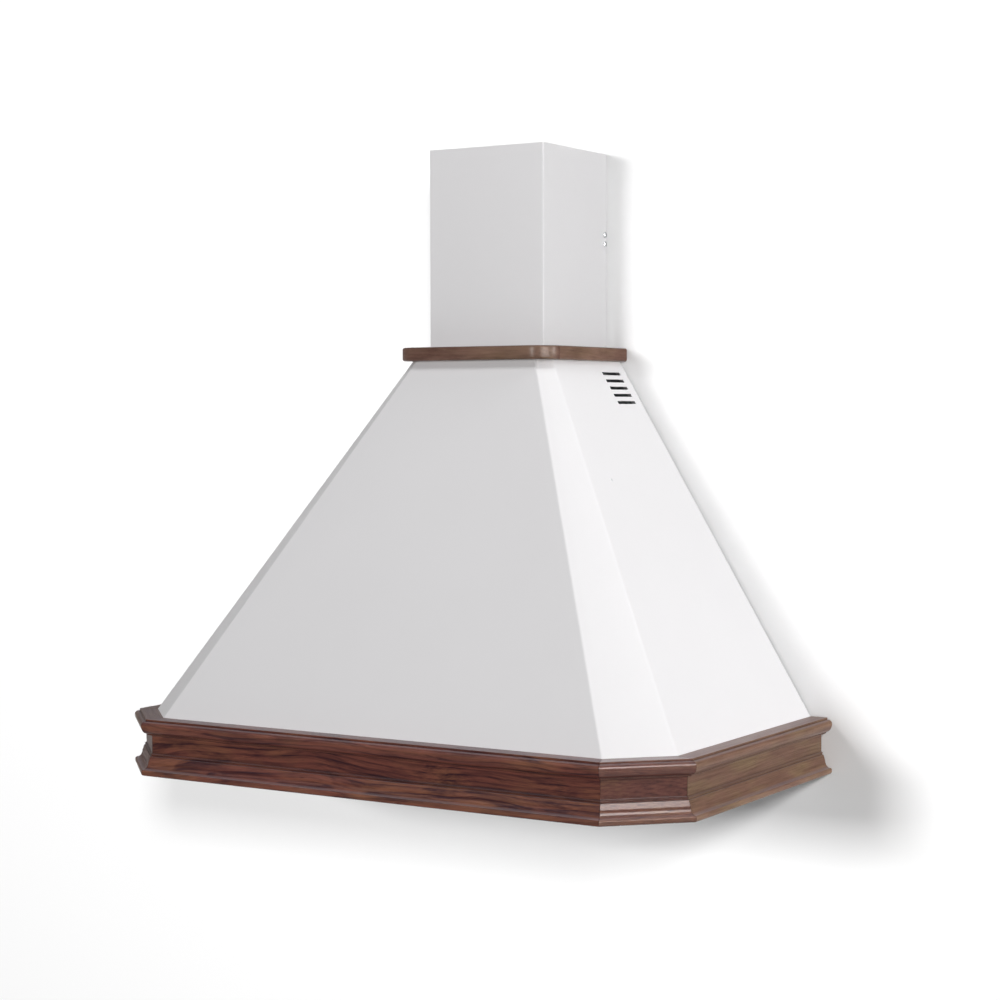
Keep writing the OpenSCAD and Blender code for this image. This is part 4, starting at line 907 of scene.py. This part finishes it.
lattice = mesh_tree()
strand = mesh_object("strand", *strand_cross(9.0, 5.6, 0.9, 0.35, 0.45))
filter_x, filter_half, y0, y1 = 141, 127.5, -389.5, -79.5
channel = soften([(12, 32), (0, 32), (0, 41), (12, 41), (12, 39.8), (1.2, 39.8), (1.2, 33.2), (12, 33.2)], 0.9)
grip_y = y0 + 8.5
grip = soften([(0, 31.4), (0, 27.2), (0.6, 24.6), (3.4, 24.0), (5.4, 25.4), (5.6, 27.0), (3.4, 28.4), (3.2, 30.2),
               (4.2, 31.4)], 1.2)
grip = [(grip_y + 6.4 + a, z) for a, z in grip]
grip_middle = Vector((sum(y for y, _ in grip) / len(grip), sum(z for _, z in grip) / len(grip)))
for side, name in ((-1, "left"), (1, "right")):
    x = side * filter_x
    front_strip, *strips = strip_frame(x - filter_half, y0, x + filter_half, y1, channel)
    tabs = [soft_block((x + s * 85 - 12, y1 - 1, 36.35), (x + s * 85 + 12, y1 + 9, 37.45), 0.4, 2.0) for s in (-1, 1)]
    filter_frame = mesh_object(name + "_frame", *joined(*strips, *tabs))
    # The front strip and the latch's seat plate are notched for the latch
    for part in (front_strip, soft_block((x - 36.8, y0 + 0.6, 32.2), (x + 36.8, y0 + 37, 40.8), 0.6, 2.5)):
        piece = mesh_object("notched", *part)
        shade(piece)
        cut_away(piece, *soft_block((x - 26.8, y0 + 8, 20), (x + 26.8, y0 + 29, 50), 0.5, 2.0))
        take_in(filter_frame, piece)
    settle(filter_frame, name + "_filter", aluminium, [name + "_filter_frame"], 30)
    # Each layer is staggered against the next by its shift to the right and to the rear
    layers = mesh_object(name + "_mesh_layers", [], [])
    for z, right, rear, wide, deep, columns, rows in (
            (34.2, 0.0, 0.0, 0.2295, 0.2912, 26, 53), (36.4, 3.1, 2.0, 0.2205, 0.2856, 25, 52),
            (38.6, 1.4, 3.3, 0.2205, 0.2856, 25, 52)):
        layer = mesh_object("layer", [], [])
        grow(layer, lattice, Strand=strand, Width=wide, Depth=deep, Columns=columns, Rows=rows,
             Centre=((x + right) / 1000, ((y0 + y1) / 2 + rear) / 1000, z / 1000),
             **{"Seat half width": 0.043, "Seat depth": -0.1120}, Finish=aluminium)
        take_in(layers, layer)
    layers.data.materials.append(aluminium)
    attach(layers, name + "_filter")
    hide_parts(name + "_filter_mesh")
    bars = [[(x + dx, *(grip_middle + (Vector(p) - grip_middle) * k)) for p in grip]
            for dx, k in ((-21.5, 0.8), (-21.0, 0.94), (-20.0, 1.0), (20.0, 1.0), (21.0, 0.94), (21.5, 0.8))]
    latch = mesh_object(name + "_latch_body", *joined(
        soft_block((x - 26.5, grip_y, 31), (x + 26.5, grip_y + 14, 41.3), 0.9, 1.2),
        soft_block((x - 30.5, grip_y, 41.3), (x + 30.5, grip_y + 14, 42.8), 0.5, 1.2),
        soft_block((x - 12, grip_y - 8.5, 35.5), (x + 12, grip_y + 1, 37.5), 0.4, 0.6), loft(bars)))
    settle(latch, name + "_latch", black_plastic, [name + "_filter_latch"], 35)
bpy.data.objects.remove(strand)


# Lamps
# Two halogen lamps in the pan's front strip, each a chromed bezel on a frosted, ribbed glass, a vented
# galvanised housing above it, and in the housing a small capsule on a ceramic holder.
chrome = metal("chrome_plate", (0.80, 0.81, 0.82), 0.14, grain_size=0.04)


def glass(name, colour, rough, clear, rib=0.0):
    """Glass that lets light through; rib is the spacing of pressed prisms, in metres."""
    made, tree, place = surface(name)
    height = noise(tree, place, 1400.0, 2.0, 0.6)
    if rib:
        part = axes(tree, place)
        x_wave, y_wave = (maths(tree, "SINE", times(tree, part[way], math.tau / rib)) for way in ("X", "Y"))
        height = plus(tree, times(tree, times(tree, x_wave, y_wave), 1.5), height)
    dust = span(tree, noise(tree, place, 60.0, 4.0), 0.3, 0.7, rough - 0.03, rough + 0.05)
    return finished(made, tree, height, 0.4, 0.0002, {
        "Base Color": (*colour, 1), "Roughness": dust, "Transmission Weight": clear, "IOR": 1.47})


frosted = glass("frosted_glass", (0.93, 0.95, 0.96), 0.42, 0.55, rib=0.0022)
quartz = glass("bulb_glass", (0.95, 0.95, 0.95), 0.08, 0.9)
ceramic = moulded("bulb_holder_ceramic", (0.80, 0.79, 0.75), 0.5)
tungsten = metal("bulb_filament", (0.45, 0.44, 0.42), 0.4)
# Half sections, radius and height, turned about each lamp's upright axis
bezel = [(24.9, 33.4), (25.5, 32.8), (26.3, 32.6), *arc(33, 34.6, 2, 2, 270, 360, 8), (35, 35), (28.5, 35),
         (28.5, 44.6), (28.1, 45), (27.3, 45), (27, 44.6), (27, 35), (24.9, 35)]
waves = [(r, 36.6 + 0.45 * math.cos(r * 1.9)) for r in [i * 0.25 for i in range(1, 102)]]
pane = [(0.1, 35.05), (24.0, 35.0), (26.2, 35.1), (26.7, 35.6), (26.7, 36.8), *reversed(waves), (0.1, 37.0)]
holder = [(0.1, 59.7), (4.9, 59.7), (5.1, 60.6), (6.4, 60.6), (6.9, 61.1), (6.9, 65.4), (6.2, 65.8), (6.2, 66.6),
          (6.9, 67.0), (6.9, 68.4), (6.5, 68.8), (0.1, 68.8)]
capsule = [(0.1, 47.4), (0.9, 47.6), (1.4, 48.4), (2.6, 49.2), (3.9, 50.4), (4.4, 52.0), (4.5, 56.5), (4.2, 58.4),
           (3.4, 59.7), (0.1, 59.7)]
# The lamps and the buttons stand in one row
lamp_x, row_y = 205, -428
coil_z, coil_half = 54.4, 2.4


def filament(x, y):
    """A coil of twelve turns, hung between its two legs."""
    rings = []
    for i in range(121):
        a = i * math.tau / 10
        place = Vector((x - coil_half + i * 0.04, y + 0.8 * math.cos(a), coil_z + 0.8 * math.sin(a)))
        rings.append([tuple(place + Vector((
            0.05 * math.cos(b), 0.12 * math.sin(b) * math.cos(a), 0.12 * math.sin(b) * math.sin(a))))
            for b in (0, math.tau / 4, math.tau / 2, math.tau * 3 / 4)])
    legs = [spin([(0.25, coil_z), (0.25, 59.9)], 8, (x + dx, y + 0.8)) for dx in (-coil_half, coil_half)]
    return joined(loft(rings), *legs)


for side, name in ((-1, "left"), (1, "right")):
    centre = side * lamp_x, row_y
    settle(mesh_object(name + "_bezel_ring", *spin(bezel, 96, centre)), "hood", chrome,
           [name + "_lamp_bezel"], 40)
    settle(mesh_object(name + "_lens_pane", *spin(pane, 72, centre, closed=False)), "hood", frosted,
           [name + "_lamp_lens"], 40)
    smooth_copy(name + "_housing_can", name + "_lamp_housing", "hood", galvanised)
    settle(mesh_object(name + "_bulb_holder", *spin(holder, 40, centre, closed=False)), "hood", ceramic,
           ["lamp_bulbs"] if side < 0 else [], 30)
    settle(mesh_object(name + "_bulb_capsule", *spin(capsule, 40, centre, closed=False)), "hood", quartz,
           [], 50)
    settle(mesh_object(name + "_bulb_filament", *filament(*centre)), "hood", tungsten, [], 60)


# Controls
# A black bezel plate clipped in the pan, with five square openings, and in each a dished push button held by
# its collar. Their signs are pad printed: a lamp, 0 for off, and the speeds 1, 2 and 3.
plate = mesh_object("control_plate", *soft_block((-62, row_y - 18, 32.6), (62, row_y + 18, 34.95), 1.0, 3.0))
button_places = [(x, row_y) for x in (-40, -20, 0, 20, 40)]
for x, y in button_places:
    cut_away(plate, *soft_block((x - 7.3, y - 7.3, 31.5), (x + 7.3, y + 7.3, 36.0), 0.2, 0.8))
    # A shallow chamfer leads into each opening
    rim = soften(oblong(x, y, 8.1, 8.1), 1.2)
    drawn = [(x + (a - x) * 0.9, y + (b - y) * 0.9, 33.2) for a, b in rim]
    cut_away(plate, *loft([[(*p, 32.2) for p in rim], drawn]))
sleeve = drawn_in(soften(oblong(0, row_y, 56, 13), 1.0), (
    (0, 34.5), (0, 44.7), (0.3, 45.0), (1.2, 45.0), (1.5, 44.7), (1.5, 34.5)))
take_in(plate, mesh_object("sleeve", *loft(sleeve, caps=False, around=True)))
settle(plate, "hood", black_plastic, ["control_bezel"], 35)
signs = moulded("sign_ink", (0.80, 0.80, 0.78), 0.55, depth=0.1)


dish_radius, dish_centre, dish_low = 24.8, 5.6, 29.66


def dish(x, y):
    """Height of a button's dished face, x and y from its middle."""
    return max(dish_low, dish_centre + math.sqrt(dish_radius ** 2 - x * x - y * y))


def ribbon(centre, line, width=0.75, closed=False):
    """An inked stroke on the dished face, along points seen from below with up away from the wall."""
    points = [Vector((a, -b)) for a, b in line]
    sides = []
    for i, p in enumerate(points):
        before = points[i - 1] if i or closed else p
        after = points[(i + 1) % len(points)] if i + 1 < len(points) or closed else p
        way = (after - before).normalized()
        across = Vector((-way.y, way.x)) * width / 2
        sides.append([p - across, p + across])
    rings = [[(centre[0] + q.x, centre[1] + q.y, dish(q.x, q.y) + lift) for q, lift in (
        (pair[0], 0.05), (pair[0], -0.03), (pair[1], -0.03), (pair[1], 0.05))] for pair in sides]
    return loft(rings, around=closed, caps=not closed)


def sign(kind, centre):
    """The strokes of one sign."""
    if kind == "lamp":
        bulb = arc(0, 0.7, 1.7, 1.7, 230, -50, 14) + [(1.0, -1.5), (-1.0, -1.5)]
        return joined(ribbon(centre, bulb, 0.6, True), ribbon(centre, [(-0.9, -2.3), (0.9, -2.3)], 0.6),
                      ribbon(centre, [(-0.5, -3.1), (0.5, -3.1)], 0.6))
    if kind == "0":
        return ribbon(centre, arc(0, 0, 1.5, 2.4, 0, 360, 28)[:-1], closed=True)
    if kind == "1":
        return ribbon(centre, [(-1.1, 1.4), (-0.3, 1.9), (0.3, 2.6), (0.3, 0), (0.3, -2.5)])
    if kind == "2":
        top = arc(0, 1.1, 1.5, 1.5, 170, -30, 10)
        return joined(ribbon(centre, [*top, (0.3, -0.8), (-1.6, -2.4)]), ribbon(centre, [(-1.7, -2.4), (1.6, -2.4)]))
    return joined(ribbon(centre, arc(-0.1, 1.3, 1.3, 1.2, 160, -80, 12)),
                  ribbon(centre, arc(-0.1, -1.1, 1.5, 1.4, 80, -160, 12)))


for (x, y), (button, kind) in zip(button_places, (
        ("light_button", "lamp"), ("fan_off_button", "0"), ("speed_1_button", "1"), ("speed_2_button", "2"),
        ("speed_3_button", "3"))):
    plan = resample(soften(oblong(x, y, 7, 7), 1.5), 1.5)
    rings = drawn_in(plan, [(0, 37.9), (0, 30.1), *arc(0.45, 30.1, -0.45, -0.45, 30, 90, 2)])
    rim = [(a - x, b - y) for a, b, _ in rings[-1]]
    rings += [[(x + a * k, y + b * k, dish(a * k, b * k)) for a, b in rim]
              for k in (0.93, 0.8, 0.65, 0.5, 0.35, 0.2, 0.08)]
    guard = drawn_in(soften(oblong(x, y, 8.3, 8.3), 1.5), (
        (1.4, 35.0), (0.2, 35.0), (0, 35.2), (0, 36.0), (0.2, 36.2), (1.4, 36.2)))
    stem = spin([(0.1, 36.8), (3.9, 36.8), (3.9, 40.8), (3.7, 41.0), (0.1, 41.0)], 32, (x, y), closed=False)
    settle(mesh_object(button + "_cap", *joined(loft(rings), loft(guard, caps=False, around=True), stem)), button,
           black_plastic, [button], 35)
    settle(mesh_object(button + "_sign", *sign(kind, (x, y))), button, signs, [], 35)


# Blower
# A galvanised scroll with its side plate, and in it an impeller of pressed blades on the motor's shaft. The
# motor hangs in a three-armed ring on rubber bushes, and a collar with two non-return flaps takes the air up.
motor_paint = moulded("motor_enamel", (0.10, 0.105, 0.115), 0.42, grain=260.0, depth=0.5)
grey_plastic = moulded("grey_plastic", (0.30, 0.31, 0.32), 0.5)
rubber = moulded("bush_rubber", (0.028, 0.028, 0.028), 0.75)
for name, cad_node, body, material, slot in (
        ("scroll_sheet", "blower_scroll", "hood", galvanised, "galvanised_steel"),
        ("scroll_side", "blower_side_plate", "hood", galvanised, "galvanised_steel"),
        ("blade_wheel", "impeller", "impeller_rotor", galvanised, "galvanised_steel"),
        ("steel_shaft", "motor_shaft", "impeller_rotor", zinc_plate, "fastener_steel"),
        ("motor_body", "motor", "hood", motor_paint, "motor_paint"),
        ("motor_ring", "motor_mount", "hood", galvanised, "galvanised_steel"),
        ("rubber_bushes", "motor_bushes", "hood", rubber, "bush_rubber"),
        ("collar_flange", "outlet_plate", "hood", galvanised, "galvanised_steel"),
        ("duct_collar", "outlet_collar", "hood", black_plastic, "black_plastic"),
        ("front_flap_leaf", "front_flap", "front_flap", grey_plastic, "grey_plastic"),
        ("rear_flap_leaf", "rear_flap", "rear_flap", grey_plastic, "grey_plastic")):
    smooth_copy(name, cad_node, body, material)


# Electrical parts
# On the back panel, a grey junction box with its lid, a black cable gland in the panel, and the motor's
# capacitor in its clip. The control box sits on the pan above the buttons.
pale_plastic = moulded("capacitor_case", (0.74, 0.74, 0.71), 0.4)
for name, cad_node, material, slot in (
        ("gland_body", "cable_gland", black_plastic, "black_plastic"),
        ("capacitor_can", "capacitor", pale_plastic, "white_plastic"),
        ("capacitor_strap", "capacitor_clip", galvanised, "galvanised_steel"),
        ("junction_case", "junction_box", grey_plastic, "grey_plastic"),
        ("junction_cover", "junction_lid", grey_plastic, "grey_plastic"),
        ("switch_box", "control_box", grey_plastic, "grey_plastic")):
    smooth_copy(name, cad_node, "hood", material)


# Pan, back panel, brackets and mitre plates
# The pan is painted like the canopy. The back panel and the brackets are bare galvanised sheet, and the plates
# under the mitres are zinc plated. All of them keep their CAD form.
for cad_node, material in (
        ("base_pan", enamel), ("back_panel", galvanised), ("chimney_bracket", galvanised),
        ("left_blower_bracket", galvanised), ("right_blower_bracket", galvanised), ("mitre_plates", zinc_plate)):
    for slot in nodes[cad_node].material_slots:
        slot.material = material
